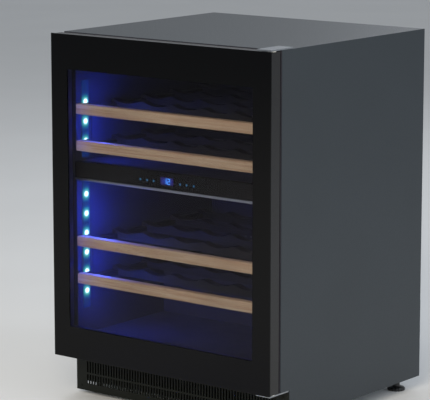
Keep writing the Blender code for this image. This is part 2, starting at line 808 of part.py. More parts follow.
def drip_tray(look):
    """An open tray on top of the compressor that takes the defrost water."""
    x, y, _ = compressor_place()
    low = Vector((x - TRAY[0] / 2, y - TRAY[1] / 2, COMPRESSOR_TOP + GAP))
    high = low + Vector(TRAY)
    tray = box("drip_tray", low, high, look, TRAY_WALL, 1)
    wall = Vector((TRAY_WALL, TRAY_WALL, TRAY_WALL))
    pocket = box("tray_pocket", low + wall, (high.x - TRAY_WALL, high.y - TRAY_WALL, high.z + OVERCUT))
    return cut(tray, pocket)


def can_profile():
    """Straight sides between two domed ends."""
    dome = DOME_SHARE * (COMPRESSOR_TOP - COMPRESSOR_BOTTOM)
    top, bottom = [], []
    for step in range(DOME_STEPS + 1):
        turn = math.radians(90) * step / DOME_STEPS
        across = COMPRESSOR_RADIUS * math.sin(turn)
        rise = dome * (1 - math.cos(turn))
        top.append((across, COMPRESSOR_TOP - rise))
        bottom.append((across, COMPRESSOR_BOTTOM + rise))
    return top + bottom[::-1]


def compressor(look):
    """A welded can on a foot plate with four grommets."""
    x, y, z = compressor_place()
    can = turned("compressor", can_profile(), "Z", (x, y, z), look)
    wide, deep, thick = FOOT_PLATE
    low = COMPRESSOR_BOTTOM + FOOT_PLATE_RISE
    plate_low = (x - wide / 2, y - deep / 2, low)
    plate = box("compressor_foot_plate", plate_low, (x + wide / 2, y + deep / 2, low + thick))
    grommets = []
    for index, (right, back) in enumerate(CORNERS):
        reach_x = wide / 2 - GROMMET_INSET
        reach_y = deep / 2 - GROMMET_INSET
        centre = (x + right * reach_x, y + back * reach_y, 0.0)
        name = f"compressor_grommet_{index}"
        high = low + thick / 2
        grommets.append(cylinder(name, GROMMET_RADIUS, BASE_TOP + GAP, high, "Z", centre, steps=SMALL_STEPS))
    return join(can, plate, *grommets)


def terminal_cover(look):
    x, y, _ = compressor_place()
    near = x + COMPRESSOR_RADIUS + GAP
    middle = (COMPRESSOR_TOP + COMPRESSOR_BOTTOM) / 2
    deep, wide, tall = TERMINAL_COVER
    low = (near, y - wide / 2, middle - tall / 2)
    return box("compressor_terminal_cover", low, (near + deep, y + wide / 2, middle + tall / 2), look, 0.003)


def condenser_top():
    return BASE_TOP + GAP + CONDENSER[2]


def condenser_run():
    """The condenser's tube: passes along Y, with both ends at the front."""
    pitch = CONDENSER[2] / CONDENSER_PASSES
    run = serpentine(CONDENSER[1] / 2, condenser_top() - pitch / 2, pitch, CONDENSER_PASSES)
    route = [Vector((CONDENSER_X, CONDENSER_MIDDLE + along, up)) for along, up in run]
    first = route[0] - Vector((0, INLET_REACH, 0))
    bend = route[-1] - Vector((0, OUTLET_REACH, 0))
    tail = rounded([route[-1], bend, bend + Vector((OUTLET_TURN, 0, 0))], TUBE_BEND)
    return [first] + route[:-1] + tail


def condenser(look):
    """A finned block: a tube in passes with fins across it."""
    coil = tube("condenser", condenser_run(), CONDENSER_TUBE, look)
    half = CONDENSER[0] / 2
    front = CONDENSER_MIDDLE - CONDENSER[1] / 2 + FIN
    pitch = (CONDENSER[1] - 3 * FIN) / (FIN_COUNT - 1)
    corners = []
    for index in range(FIN_COUNT):
        y = front + pitch * index
        low = (CONDENSER_X - half, y, BASE_TOP + GAP)
        corners.append((low, (CONDENSER_X + half, y + FIN, condenser_top())))
    return join(coil, cubes("condenser_fins", corners))


def shroud_place():
    return (SHROUD_X, SPACE_MIDDLE, BASE_TOP + GAP + SHROUD[2] / 2)


def cooling_fan_place():
    x, y, z = shroud_place()
    return (x - FAN_BEFORE_MIDDLE, y, z)


def condenser_fan_shroud(look):
    """A square frame round the fan, with a motor held by a cross of struts."""
    x, y, z = shroud_place()
    deep, wide, tall = SHROUD
    side = x + deep / 2
    low = (x - deep / 2, y - wide / 2, z - tall / 2)
    frame = box("condenser_fan_shroud", low, (side, y + wide / 2, z + tall / 2), look)
    reach = deep / 2 + OVERCUT
    cut(frame, cylinder("shroud_throat", wide / 2 - SHROUD_WALL, -reach, reach, "X", (x, y, z)))
    half = STRUT / 2
    end = (wide - SHROUD_WALL) / 2
    cross = box("shroud_cross", (side - STRUT_DEPTH, y - end, z - half), (side - GAP, y + end, z + half))
    post_low = (side - STRUT_DEPTH - GAP, y - half, z - end)
    post = box("shroud_post", post_low, (side - 2 * GAP, y + half, z + end))
    fan_middle = cooling_fan_place()
    motor = turned("shroud_motor", motor_profile(side - fan_middle[0] - 3 * GAP), "X", fan_middle)
    return join(frame, cross, post, motor)


def filter_drier(look):
    """A copper capsule at the condenser's outlet."""
    end = condenser_run()[-1]
    half = DRIER_LENGTH / 2
    neck = LINE_RADIUS + SHEET
    shoulder = half - DRIER_SHOULDER
    necks_end = half - neck
    profile = [(0.0, half), (neck, half), (neck, necks_end), (DRIER_RADIUS, shoulder)]
    profile += [(DRIER_RADIUS, -shoulder), (neck, -necks_end), (neck, -half), (0.0, -half)]
    centre = (end.x + GAP + half, end.y, end.z)
    return turned("filter_drier", profile, "X", centre, look, 16)


def discharge_line(look):
    """From the compressor's can, along the front of the compartment, to the condenser's inlet."""
    x, y, _ = compressor_place()
    start = Vector((x - COMPRESSOR_RADIUS - 2 * GAP, y, LINE_HEIGHT))
    end = condenser_run()[0] - Vector((0, GAP, 0))
    aside = start.x - LINE_ASIDE
    front = SPACE_FRONT + LINE_FROM_FRONT
    corners = [start, (aside, y, LINE_HEIGHT), (aside, front, LINE_HEIGHT + LINE_BEND)]
    corners += [(end.x, front, end.z), end]
    return tube("discharge_line", rounded(corners, LINE_BEND), LINE_RADIUS, look)


def suction_line(look):
    """From the foam above the compartment down to the compressor."""
    x, y, _ = compressor_place()
    side = math.radians(-60)
    near = COMPRESSOR_RADIUS + 2 * GAP
    touch = Vector((x + math.cos(side) * near, y + math.sin(side) * near, LINE_HEIGHT))
    away = Vector((touch.x, SPACE_FRONT + LINE_FROM_FRONT, 0.0))
    corners = [away + Vector((0, 0, SPACE_TOP - GAP)), away + Vector((0, 0, LINE_HEIGHT)), touch]
    return tube("suction_line", rounded(corners, LINE_BEND), LINE_RADIUS, look)


def inlet_place():
    return (CABINET - INLET_INSET, INLET_HEIGHT)


def rear_cover(look):
    """A sheet cover over the compartment with rows of vents and a cut-out for the mains inlet."""
    plate = rectangle(-CABINET + GAP, BASE_TOP + GAP, CABINET - GAP, SPACE_TOP + COVER_OVERLAP)
    holes = []
    reach = CABINET - VENT_MARGIN
    for bottom in VENT_ROWS:
        for index in range(VENT_COUNT):
            x = -reach + 2 * reach * index / (VENT_COUNT - 1)
            holes.append(rectangle(x - VENT[0] / 2, bottom, x + VENT[0] / 2, bottom + VENT[1]))
    x, z = inlet_place()
    holes.append(grown((x - INLET[0] / 2, z - INLET[2] / 2, x + INLET[0] / 2, z + INLET[2] / 2), GAP))
    return colored(extruded("rear_cover", [plate] + holes, "Y", BACK - COVER, BACK), look)


def mains_inlet(look):
    """A recessed appliance inlet, flush with the rear cover."""
    x, z = inlet_place()
    wide, deep, tall = INLET
    low = Vector((x - wide / 2, BACK - deep, z - tall / 2))
    high = Vector((x + wide / 2, BACK, z + tall / 2))
    wall = Vector((INLET_WALL, INLET_WALL, INLET_WALL))
    pocket_high = high - wall
    pocket_high.y = BACK + OVERCUT
    return cut(box("mains_inlet", low, high, look), box("inlet_pocket", low + wall, pocket_high))


def plinth_grille(look):
    """The kick plate with two rows of upright air slots."""
    half = CABINET - SHEET
    holes = []
    count = int((WIDTH - 2 * SLOT_MARGIN) / SLOT_PITCH)
    for bottom, top in SLOT_ROWS:
        for index in range(count):
            x = (index - (count - 1) / 2) * SLOT_PITCH
            holes.append(rectangle(x - SLOT_WIDTH / 2, bottom, x + SLOT_WIDTH / 2, top))
    plate = rectangle(-half, PLINTH_BOTTOM, half, PLINTH_TOP)
    front = FRONT + PLINTH_SETBACK
    return colored(extruded("plinth_grille", [plate] + holes, "Y", front, front + PLINTH), look)


def levelling_foot(name, right, back, look):
    """A pad with a threaded stem through the base, under a collar that carries the cooler."""
    profile = [
        (0.0, BASE_TOP + STEM_ABOVE),
        (STEM_RADIUS, BASE_TOP + STEM_ABOVE),
        (STEM_RADIUS, BASE_UNDERSIDE - GAP),
        (COLLAR_RADIUS, BASE_UNDERSIDE - GAP),
        (COLLAR_RADIUS, FOOT_PAD * 1.4),
        (FOOT_RADIUS * 0.8, FOOT_PAD),
        (FOOT_RADIUS, FOOT_PAD * 0.6),
        (FOOT_RADIUS, 0.0),
        (0.0, 0.0),
    ]
    return turned(name, profile, "Z", foot_place(right, back), look, SMALL_STEPS)


def hinge_bracket(name, plate_low, pin_low, pin_high, look):
    """A steel plate with a riveted hinge pin."""
    right = INNER - GAP
    front = FRONT + BRACKET_FRONT
    low = (right - BRACKET_WIDTH, front, plate_low)
    plate = box(name, low, (right, front + BRACKET_REACH, plate_low + BRACKET), look)
    pin = cylinder(name + "_pin", PIN_RADIUS, pin_low, pin_high, "Z", (PIVOT_X, PIVOT_Y, 0.0), steps=16)
    return join(plate, pin)


def upper_hinge_bracket(look):
    low = CABINET_TOP + GAP
    return hinge_bracket("hinge_bracket_upper", low, low - PIN_LENGTH, low + BRACKET / 2, look)


def lower_hinge_bracket(look):
    high = DOOR_BOTTOM - GAP
    return hinge_bracket("hinge_bracket_lower", high - BRACKET, high - BRACKET / 2, high + PIN_LENGTH, look)


def frame_bottom():
    return DOOR_BOTTOM + FRAME_REVEAL


def frame_top():
    return DOOR_TOP - FRAME_REVEAL


def hinge_bush(name, end, inward, look):
    """A flanged plastic sleeve in the door frame that turns on the pin."""
    bore = PIN_RADIUS + BORE_CLEARANCE
    outside = end - inward * (FRAME_REVEAL - GAP)
    flange = end - inward * GAP
    inside = end + inward * PIN_LENGTH
    profile = [(BUSH_FLANGE_RADIUS, outside), (BUSH_FLANGE_RADIUS, flange), (BUSH_RADIUS, flange)]
    profile += [(BUSH_RADIUS, inside), (bore, inside), (bore, outside)]
    if inward > 0:
        profile = [(bore, inside), (BUSH_RADIUS, inside), (BUSH_RADIUS, flange)]
        profile += [(BUSH_FLANGE_RADIUS, flange), (BUSH_FLANGE_RADIUS, outside), (bore, outside)]
    centre = (PIVOT_X, PIVOT_Y, 0.0)
    return colored(turned(name, profile, "Z", centre, steps=16, closed=True), look)


def door_frame(look):
    """A deep frame with a thin ledge round the glass unit and a socket for each hinge bush."""
    outer = rectangle(-WIDTH / 2 + FRAME_REVEAL, frame_bottom(), WIDTH / 2 - FRAME_REVEAL, frame_top())
    front = FRONT + GLASS + GAP
    frame = extruded("door_frame", [outer, grown(WINDOW, FRAME_LIP)], "Y", front, FRONT + FRAME_BACK)
    step = extruded("frame_step", [grown(WINDOW, FRAME_LIP + LEDGE_WIDTH)], "Y", FRONT + LEDGE_BACK, BACK)
    radius = BUSH_RADIUS + GAP
    centre = (PIVOT_X, PIVOT_Y, 0.0)
    depth = PIN_LENGTH + SOCKET_SPARE
    low, high = frame_bottom(), frame_top()
    lower = cylinder("socket_lower", radius, low - OVERCUT, low + depth, "Z", centre, steps=16)
    upper = cylinder("socket_upper", radius, high - depth, high + OVERCUT, "Z", centre, steps=16)
    return colored(cut(frame, step, lower, upper), look)


def door_glass_outer(look):
    low = (-WIDTH / 2, FRONT, DOOR_BOTTOM)
    return box("door_glass_outer", low, (WIDTH / 2, FRONT + GLASS, DOOR_TOP), look, GLASS / 5)


def glass_spacer(look):
    outer = grown(WINDOW, FRAME_LIP - GAP)
    inner = grown(WINDOW, FRAME_LIP - GAP - SPACER_WIDTH)
    front = FRONT + GLASS + GAP
    return colored(extruded("glass_spacer", [outer, inner], "Y", front, front + SPACER_DEPTH), look)


def door_glass_inner(look):
    corners = grown(WINDOW, FRAME_LIP - GAP)
    front = FRONT + GLASS + SPACER_DEPTH + 2 * GAP
    low = (corners[0][0], front, corners[0][1])
    return box("door_glass_inner", low, (corners[2][0], front + GLASS, corners[2][1]), look)


def door_gasket(look):
    """A soft magnetic seal on the back of the frame."""
    half = WIDTH / 2 - GASKET_INSET
    low = DOOR_BOTTOM + GASKET_SETBACK_BOTTOM
    high = DOOR_TOP - GASKET_SETBACK_TOP
    outer = rectangle(-half, low, half, high)
    inner = rectangle(-half + GASKET_WIDTH, low + GASKET_WIDTH, half - GASKET_WIDTH, high - GASKET_WIDTH)
    front = FRONT + FRAME_BACK + GAP
    return colored(extruded("door_gasket", [outer, inner], "Y", front, CABINET_FRONT - GAP), look)


def build_cabinet(looks):
    outer_wrapper(looks["painted_steel"])
    back_panel(looks["zinc_sheet"])
    base_plate(looks["zinc_sheet"])
    insulation_pan(looks["zinc_sheet"])
    foam_insulation(looks["foam"])
    inner_liner(looks["liner_plastic"])
    zone_divider(looks["liner_plastic"])
    rear_cover(looks["zinc_sheet"])
    mains_inlet(looks["black_plastic"])
    plinth_grille(looks["plinth_paint"])
    upper_hinge_bracket(looks["zinc_steel"])
    lower_hinge_bracket(looks["zinc_steel"])
    for back_name, back in (("front", -1), ("rear", 1)):
        for side_name, right in (("left", -1), ("right", 1)):
            levelling_foot(f"levelling_foot_{back_name}_{side_name}", right, back, looks["black_plastic"])


def build_controls(looks):
    control_panel(looks["panel_plastic"])
    control_display(looks["display"])
    control_board(looks["circuit_board"])
    look = looks["led_cover"]
    light_strip("led_strip_upper", DIVIDER_TOP + LIGHT_GAP, DIVIDER_UNDERSIDE + LIGHT_TOP_ABOVE, look)
    light_strip("led_strip_lower", CAVITY_FLOOR + LIGHT_FLOOR_GAP, DIVIDER_UNDERSIDE - LIGHT_GAP, look)


def build_zones(looks):
    zones = {"upper": (SHELF_FLOORS[:2], DUCT_FLOORS[0]), "lower": (SHELF_FLOORS[2:], DUCT_FLOORS[1])}
    for zone, (floors, duct) in zones.items():
        for side_name, side in (("left", -1), ("right", 1)):
            shelf_support(f"shelf_support_{side_name}_{zone}", side, floors, looks["liner_plastic"])
        duct_cover(f"duct_cover_{zone}", duct, looks["liner_plastic"])
        evaporator(f"evaporator_{zone}", duct + 2 * DUCT_WALL, looks["aluminium"])
        fan_motor(f"fan_motor_{zone}", duct, looks["black_plastic"])
        fan(f"circulation_fan_{zone}", FAN_RADIUS, "Y", circulation_fan_place(duct), looks["fan_plastic"])
        temperature_sensor(f"temperature_sensor_{zone}", duct + SENSOR_HEIGHT, looks["white_plastic"])


def build_machinery(looks):
    compressor(looks["compressor_paint"])
    terminal_cover(looks["black_plastic"])
    drain_tube(looks["white_plastic"])
    drip_tray(looks["black_plastic"])
    condenser(looks["aluminium"])
    condenser_fan_shroud(looks["black_plastic"])
    fan("condenser_fan", COOLING_FAN_RADIUS, "X", cooling_fan_place(), looks["fan_plastic"])
    filter_drier(looks["copper"])
    discharge_line(looks["copper"])
    suction_line(looks["copper"])


def build_door(looks):
    pieces = [
        door_glass_outer(looks["black_glass"]),
        door_frame(looks["frame_paint"]),
        glass_spacer(looks["aluminium"]),
        door_glass_inner(looks["clear_glass"]),
        door_gasket(looks["rubber"]),
        hinge_bush("hinge_bush_lower", frame_bottom(), 1, looks["white_plastic"]),
        hinge_bush("hinge_bush_upper", frame_top(), -1, looks["white_plastic"]),
    ]
    carry(carrier("door_axis", (PIVOT_X, PIVOT_Y, DOOR_BOTTOM)), pieces)


def build_shelves(looks):
    for number, floor in enumerate(SHELF_FLOORS, start=1):
        pieces = [shelf_front(number, floor, looks["beech"]), shelf_rack(number, floor, looks["black_stain"])]
        carry(carrier(f"shelf_{number}_runner", (0.0, SHELF_FRONT, floor)), pieces)


def all_looks():
    steel_grey = (0.45, 0.46, 0.47)
    made = {
        "painted_steel": finish("painted_steel", (0.012, 0.012, 0.013), 0.45),
        "zinc_sheet": finish("zinc_sheet", steel_grey, 0.45, 0.9),
        "zinc_steel": finish("zinc_steel", steel_grey, 0.35, 1.0),
        "foam": finish("foam", (0.80, 0.72, 0.50), 0.95),
        "liner_plastic": finish("liner_plastic", (0.05, 0.05, 0.055), 0.45),
        "black_plastic": finish("black_plastic", (0.015, 0.015, 0.015), 0.50),
        "fan_plastic": finish("fan_plastic", (0.03, 0.03, 0.03), 0.40),
        "white_plastic": finish("white_plastic", (0.80, 0.80, 0.78), 0.45),
        "panel_plastic": finish("panel_plastic", (0.025, 0.018, 0.016), 0.20),
        "plinth_paint": finish("plinth_paint", (0.055, 0.052, 0.040), 0.50),
        "frame_paint": finish("frame_paint", (0.020, 0.020, 0.021), 0.40),
        "display": finish("display", (0.02, 0.08, 0.30), 0.20),
        "circuit_board": finish("circuit_board", (0.02, 0.12, 0.05), 0.50),
        "led_cover": finish("led_cover", (0.55, 0.70, 0.90), 0.35),
        "beech": finish("beech", (0.50, 0.30, 0.17), 0.50),
        "black_stain": finish("black_stain", (0.020, 0.016, 0.014), 0.50),
        "aluminium": finish("aluminium", (0.60, 0.60, 0.61), 0.35, 1.0),
        "compressor_paint": finish("compressor_paint", (0.010, 0.010, 0.011), 0.35),
        "copper": finish("copper", (0.80, 0.35, 0.20), 0.30, 1.0),
        "black_glass": finish("black_glass", (0.010, 0.010, 0.012), 0.04, 0.0, 0.6),
        "clear_glass": finish("clear_glass", (0.60, 0.65, 0.65), 0.03, 0.0, 0.3),
        "rubber": finish("rubber", (0.02, 0.02, 0.02), 0.80),
    }
    return made


clear_scene()
PARTS = new_collection("wine_cooler")
CUTTERS = new_collection("cutters")
LOOKS = all_looks()
build_cabinet(LOOKS)
build_controls(LOOKS)
build_zones(LOOKS)
build_machinery(LOOKS)
build_door(LOOKS)
build_shelves(LOOKS)
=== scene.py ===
# %% [markdown]
# # A wine cooler for under a worktop, with two zones
#
# The cooler is a black, insulated cabinet behind a full glass door. Its metal, plastic and glass
# shells were drawn in CAD, and they load here as a fixed frame. This lesson gives each of them a
# finish, and adds the fine pieces that CAD left plain: rounded beech strips, a bellows gasket,
# lamp lenses, the lit display, screws, threads and pins.

import json
import math

import bmesh
import bpy
import numpy as np
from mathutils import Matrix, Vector


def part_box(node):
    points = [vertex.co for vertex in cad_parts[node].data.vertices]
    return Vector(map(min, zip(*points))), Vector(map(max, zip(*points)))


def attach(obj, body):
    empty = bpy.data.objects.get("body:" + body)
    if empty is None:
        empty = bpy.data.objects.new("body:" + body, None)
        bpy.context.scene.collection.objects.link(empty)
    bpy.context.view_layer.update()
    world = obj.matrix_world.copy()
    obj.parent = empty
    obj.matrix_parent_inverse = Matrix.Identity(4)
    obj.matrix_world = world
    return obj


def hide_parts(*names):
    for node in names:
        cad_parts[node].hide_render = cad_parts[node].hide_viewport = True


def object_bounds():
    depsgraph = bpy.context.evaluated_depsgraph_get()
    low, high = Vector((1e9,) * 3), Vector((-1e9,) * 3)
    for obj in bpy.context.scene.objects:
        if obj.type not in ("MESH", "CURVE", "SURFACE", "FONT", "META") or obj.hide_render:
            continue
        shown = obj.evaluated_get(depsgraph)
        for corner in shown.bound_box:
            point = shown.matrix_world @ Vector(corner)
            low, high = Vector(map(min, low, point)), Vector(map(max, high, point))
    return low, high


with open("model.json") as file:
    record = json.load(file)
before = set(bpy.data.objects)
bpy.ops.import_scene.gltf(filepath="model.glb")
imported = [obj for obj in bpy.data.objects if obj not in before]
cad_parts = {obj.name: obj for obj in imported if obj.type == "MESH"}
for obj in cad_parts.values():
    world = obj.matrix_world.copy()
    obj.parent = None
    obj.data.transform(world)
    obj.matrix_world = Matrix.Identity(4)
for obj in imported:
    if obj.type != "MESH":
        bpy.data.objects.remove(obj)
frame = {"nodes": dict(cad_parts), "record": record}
cad_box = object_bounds()

# %% [markdown]
# ## The stage
#
# A product is shown on a plain pale floor, under large soft lamps. The floor could be a curved
# paper sweep, but a wide flat plane is simpler and looks the same from every side. The camera
# stands to the right of the door, a little above the worktop, with a long lens, so that upright
# edges stay nearly upright.

# %% Colours are written as sRGB codes
def linear(code):
    """An sRGB hex code as linear light: c / 12.92 in the darks, else ((c + 0.055) / 1.055) ^ 2.4."""
    shown = np.array([int(code[i:i + 2], 16) for i in (1, 3, 5)]) / 255
    light = np.where(shown <= 0.04045, shown / 12.92, ((shown + 0.055) / 1.055) ** 2.4)
    return (*light.tolist(), 1.0)


print("mid grey #808080 is", round(linear("#808080")[0], 3), "in linear light")

# %% The node helper
def add(tree, kind, inputs=None, **settings):
    """Adds one node. A setting is a property of the node; an input is a value or a socket to link."""
    node = tree.nodes.new("ShaderNode" + kind)
    for key, value in settings.items():
        setattr(node, key, value)
    for key, value in (inputs or {}).items():
        if isinstance(value, bpy.types.NodeSocket):
            tree.links.new(value, node.inputs[key])
        else:
            node.inputs[key].default_value = value
    return node


def new_finish(name, color, roughness, **sockets):
    """A material with a Principled shader. Returns the material, its tree and the shader."""
    material = bpy.data.materials.new(name)
    material.use_nodes = True
    tree = material.node_tree
    shader = tree.nodes["Principled BSDF"]
    shader.inputs["Base Color"].default_value = linear(color)
    shader.inputs["Roughness"].default_value = roughness
    for key, value in sockets.items():
        shader.inputs[key.replace("_", " ")].default_value = value
    return material, tree, shader


print("helpers:", add.__name__, "for a node,", new_finish.__name__, "for a finish")

# %% Floor
FLOOR_HALF = 20.0
PAPER_DRIFT = 2.0


def studio_floor():
    """A flat square of paper. Its tone drifts a little, over half a metre or so, as paper does."""
    mesh = bpy.data.meshes.new("studio_floor")
    corners = [(-1, -1), (1, -1), (1, 1), (-1, 1)]
    points = [(x * FLOOR_HALF, y * FLOOR_HALF, 0.0) for x, y in corners]
    mesh.from_pydata(points, [], [(0, 1, 2, 3)])
    material, tree, shader = new_finish("pale_studio_paper", "#d9dbdc", 0.75)
    place = add(tree, "TexCoord").outputs["Object"]
    drift = add(tree, "TexNoise", {
        "Vector": place, "Scale": PAPER_DRIFT, "Detail": 3.0}).outputs["Fac"]
    tone = add(tree, "Mix", {
        0: drift, "A": linear("#d5d7d8"), "B": linear("#dddfe0")}, data_type="RGBA")
    tree.links.new(tone.outputs["Result"], shader.inputs["Base Color"])
    mesh.materials.append(material)
    floor = bpy.data.objects.new("studio_floor", mesh)
    bpy.context.scene.collection.objects.link(floor)
    return floor


print("floor", studio_floor().dimensions[:2], "m")

# %% Camera
CAMERA_PLACE = Vector((3.052, -3.980, 1.352))
CAMERA_AZIMUTH = math.radians(38.10)
CAMERA_PITCH = math.radians(10.30)
CAMERA_LENS = 193.06


def aimed(name, data, place, backwards):
    """An object at a place that looks along its -Z, away from `backwards`, with its Y upwards."""
    thing = bpy.data.objects.new(name, data)
    thing.location = place
    thing.rotation_euler = (-Vector(backwards)).to_track_quat("-Z", "Y").to_euler()
    bpy.context.scene.collection.objects.link(thing)
    return thing


lens = bpy.data.cameras.new("product_camera")
lens.lens = CAMERA_LENS
lens.clip_start = 0.1
lens.clip_end = 100.0
level = math.cos(CAMERA_PITCH)
view_back = (
    math.sin(CAMERA_AZIMUTH) * level, -math.cos(CAMERA_AZIMUTH) * level, math.sin(CAMERA_PITCH))
bpy.context.scene.camera = aimed("product_camera", lens, CAMERA_PLACE, view_back)
print("camera", round((CAMERA_PLACE - (cad_box[0] + cad_box[1]) / 2).length, 2), "m from the cooler")

# %% [markdown]
# ## Studio light
#
# Large area lamps give soft edges to the shadows. One stands at the right, for the long side
# wall; one in front, which reaches the beech strips through the glass; a wide one overhead; and one
# behind. The glossy door mirrors what stands at the left of the stage, low down, so nothing bright
# is put there. The front lamp is left out of reflections, or the top sheet would mirror it, white,
# to anyone who stands behind the cooler. An even sky fills the shadows.

# %% Lamps
AIM = (cad_box[0] + cad_box[1]) / 2
# Each lamp: its place and width in metres, its watts, its tint, and whether it is mirrored.
SOFTBOXES = {
    "side_softbox": ((3.6, 0.8, 1.8), 2.4, 42.0, "#f0f6ff", True),
    "front_softbox": ((1.7, -4.2, 2.6), 2.8, 184.0, "#fff2de", False),
    "top_softbox": ((-0.8, -1.2, 3.4), 2.6, 30.0, "#ffffff", True),
    "rear_softbox": ((-0.8, 3.4, 3.0), 2.2, 30.0, "#f4f8ff", True),
}
SKY_STRENGTH = 0.66


def softbox(name, place, size, watts, tint, mirrored):
    """A square area lamp that faces the middle of the cooler."""
    data = bpy.data.lights.new(name, "AREA")
    data.size = size
    data.energy = watts
    data.color = linear(tint)[:3]
    lamp = aimed(name, data, place, Vector(place) - AIM)
    lamp.visible_glossy = mirrored


for name, settings in SOFTBOXES.items():
    softbox(name, *settings)

sky = bpy.data.worlds.new("studio_sky")
sky.use_nodes = True
sky.node_tree.nodes["Background"].inputs["Color"].default_value = linear("#c9cdd2")
sky.node_tree.nodes["Background"].inputs["Strength"].default_value = SKY_STRENGTH
bpy.context.scene.world = sky
bpy.context.scene.view_settings.view_transform = "Standard"

# %% [markdown]
# ## Painted sheet
#
# The wrapper, plinth and compressor are painted steel, and the door frame is painted aluminium.
# Powder paint melts into a skin with a faint orange peel: lumps a millimetre or so across, a few
# microns high. They spread the highlight, so the walls look satin. The lumps are drawn a little
# coarser than real, so that they still show from across a room. A slower drift in tone, from
# handling, breaks up the large flat wall.

# %% Paint
MM = 1000.0
HANDLED_MM = 180


def painted(name, color, light, roughness, peel_mm, depth_mm, shine=0.5):
    """Sprayed paint: the tone drifts from color to light, and the gloss and the peel vary by noise."""
    material, tree, shader = new_finish(name, color, roughness, Specular_IOR_Level=shine)
    place = add(tree, "TexCoord").outputs["Object"]
    drift = add(tree, "TexNoise", {
        "Vector": place, "Scale": MM / HANDLED_MM, "Detail": 3.0}).outputs["Fac"]
    tone = add(tree, "Mix", {0: drift, "A": linear(color), "B": linear(light)}, data_type="RGBA")
    tree.links.new(tone.outputs["Result"], shader.inputs["Base Color"])
    speck = add(tree, "TexNoise", {"Vector": place, "Scale": MM / (peel_mm * 2), "Detail": 2.0})
    gloss = add(tree, "MapRange", {
        "Value": speck.outputs["Fac"], "From Min": 0.3, "From Max": 0.7,
        "To Min": roughness - 0.06, "To Max": roughness + 0.06})
    tree.links.new(gloss.outputs["Result"], shader.inputs["Roughness"])
    peel = add(tree, "TexNoise", {"Vector": place, "Scale": MM / peel_mm, "Detail": 1.0})
    bump = add(tree, "Bump", {
        "Height": peel.outputs["Fac"], "Strength": 0.35, "Distance": depth_mm / MM})
    tree.links.new(bump.outputs["Normal"], shader.inputs["Normal"])
    return material


finishes = {
    "painted_steel": painted(
        "powder_coated_slate_steel", "#21292f", "#272f36", 0.40, 1.6, 0.12),
    "plinth_paint": painted(
        "powder_coated_olive_black_steel", "#0f110d", "#141711", 0.50, 1.2, 0.10, 0.2),
    "frame_paint": painted(
        "satin_black_lacquered_aluminium", "#0c0c0d", "#121213", 0.32, 0.8, 0.04),
    "compressor_paint": painted("stoved_black_enamel", "#08090a", "#0e1012", 0.16, 4.0, 0.20),
}
print("painted finishes:", sorted(finishes))

# %% [markdown]
# ## Moulded plastic
#
# The liner is drawn from a heated sheet of polystyrene over a mould, and small parts are injected
# into steel moulds whose walls were roughened by sparks. Both come out with a fine, even grain,
# a satin sheen and no colour change, so the grain is nearly all there is to draw. The glossy
# control panel has no grain at all, and only its gloss varies a little.

# %% Plastic
FLOW_MM = 60


def moulded(name, color, roughness, grain_mm, depth_mm, spread=0.05, shine=0.5):
    """Moulded plastic: pits of the mould's texture by cells, and a slow waviness by noise."""
    material, tree, shader = new_finish(name, color, roughness, IOR=1.52, Specular_IOR_Level=shine)
    place = add(tree, "TexCoord").outputs["Object"]
    pits = add(tree, "TexVoronoi", {"Vector": place, "Scale": MM / grain_mm}, feature="SMOOTH_F1")
    flow = add(tree, "TexNoise", {
        "Vector": place, "Scale": MM / FLOW_MM, "Detail": 2.0}).outputs["Fac"]
    gloss = add(tree, "MapRange", {
        "Value": flow, "From Min": 0.3, "From Max": 0.7,
        "To Min": roughness - spread, "To Max": roughness + spread})
    tree.links.new(gloss.outputs["Result"], shader.inputs["Roughness"])
    height = add(tree, "Math", {
        0: flow, 1: 1.5, 2: pits.outputs["Distance"]}, operation="MULTIPLY_ADD")
    bump = add(tree, "Bump", {
        "Height": height.outputs["Value"], "Strength": 0.4, "Distance": depth_mm / MM})
    tree.links.new(bump.outputs["Normal"], shader.inputs["Normal"])
    return material


finishes["liner_plastic"] = moulded(
    "vacuum_formed_charcoal_polystyrene", "#3b3941", 0.36, 3.0, 0.015)
finishes["black_plastic"] = moulded("moulded_black_abs", "#101011", 0.45, 0.8, 0.08)
finishes["fan_plastic"] = moulded("moulded_black_nylon", "#17181a", 0.38, 1.0, 0.06)
finishes["white_plastic"] = moulded("moulded_white_acetal", "#dcdcd6", 0.38, 0.8, 0.05)
finishes["panel_plastic"] = moulded(
    "glossy_black_acrylic", "#0e0a09", 0.20, 3.0, 0.0, 0.03, 0.2)
finishes["rubber"] = moulded("extruded_black_soft_pvc", "#2c2c31", 0.55, 0.5, 0.05)
print("finishes so far:", len(finishes))

# %% [markdown]
# ## Sheet metal and tube
#
# The back, the base and the pan under the insulation are hot-dip galvanised. Zinc freezes on the
# sheet in crystals a centimetre or so across, each with its own brightness, called spangle. The
# hinges and feet are plated with much finer zinc. The fins and the glass spacer are plain
# aluminium, rolled in one direction, and the panel's trim is anodised, which makes it paler. The
# spacer's blue-violet colour is painted light, the glow of the blue lamps inside the cooler. The
# tubes are drawn copper, which darkens in patches as it is handled. All of them are metals, so
# their colour is the colour of their reflections, but for the spacer's painted blue.

# %% Metals
def galvanised(name, dark, light, crystal_mm):
    """Spangle: every Voronoi cell takes one tone and one gloss from its random colour."""
    material, tree, shader = new_finish(name, light, 0.42, Metallic=1.0)
    place = add(tree, "TexCoord").outputs["Object"]
    crystal = add(tree, "TexVoronoi", {
        "Vector": place, "Scale": MM / crystal_mm, "Randomness": 1.0})
    tone = add(tree, "Mix", {
        0: crystal.outputs["Color"], "A": linear(dark), "B": linear(light)}, data_type="RGBA")
    tree.links.new(tone.outputs["Result"], shader.inputs["Base Color"])
    gloss = add(tree, "MapRange", {
        "Value": crystal.outputs["Color"], "To Min": 0.34, "To Max": 0.52})
    tree.links.new(gloss.outputs["Result"], shader.inputs["Roughness"])
    return material


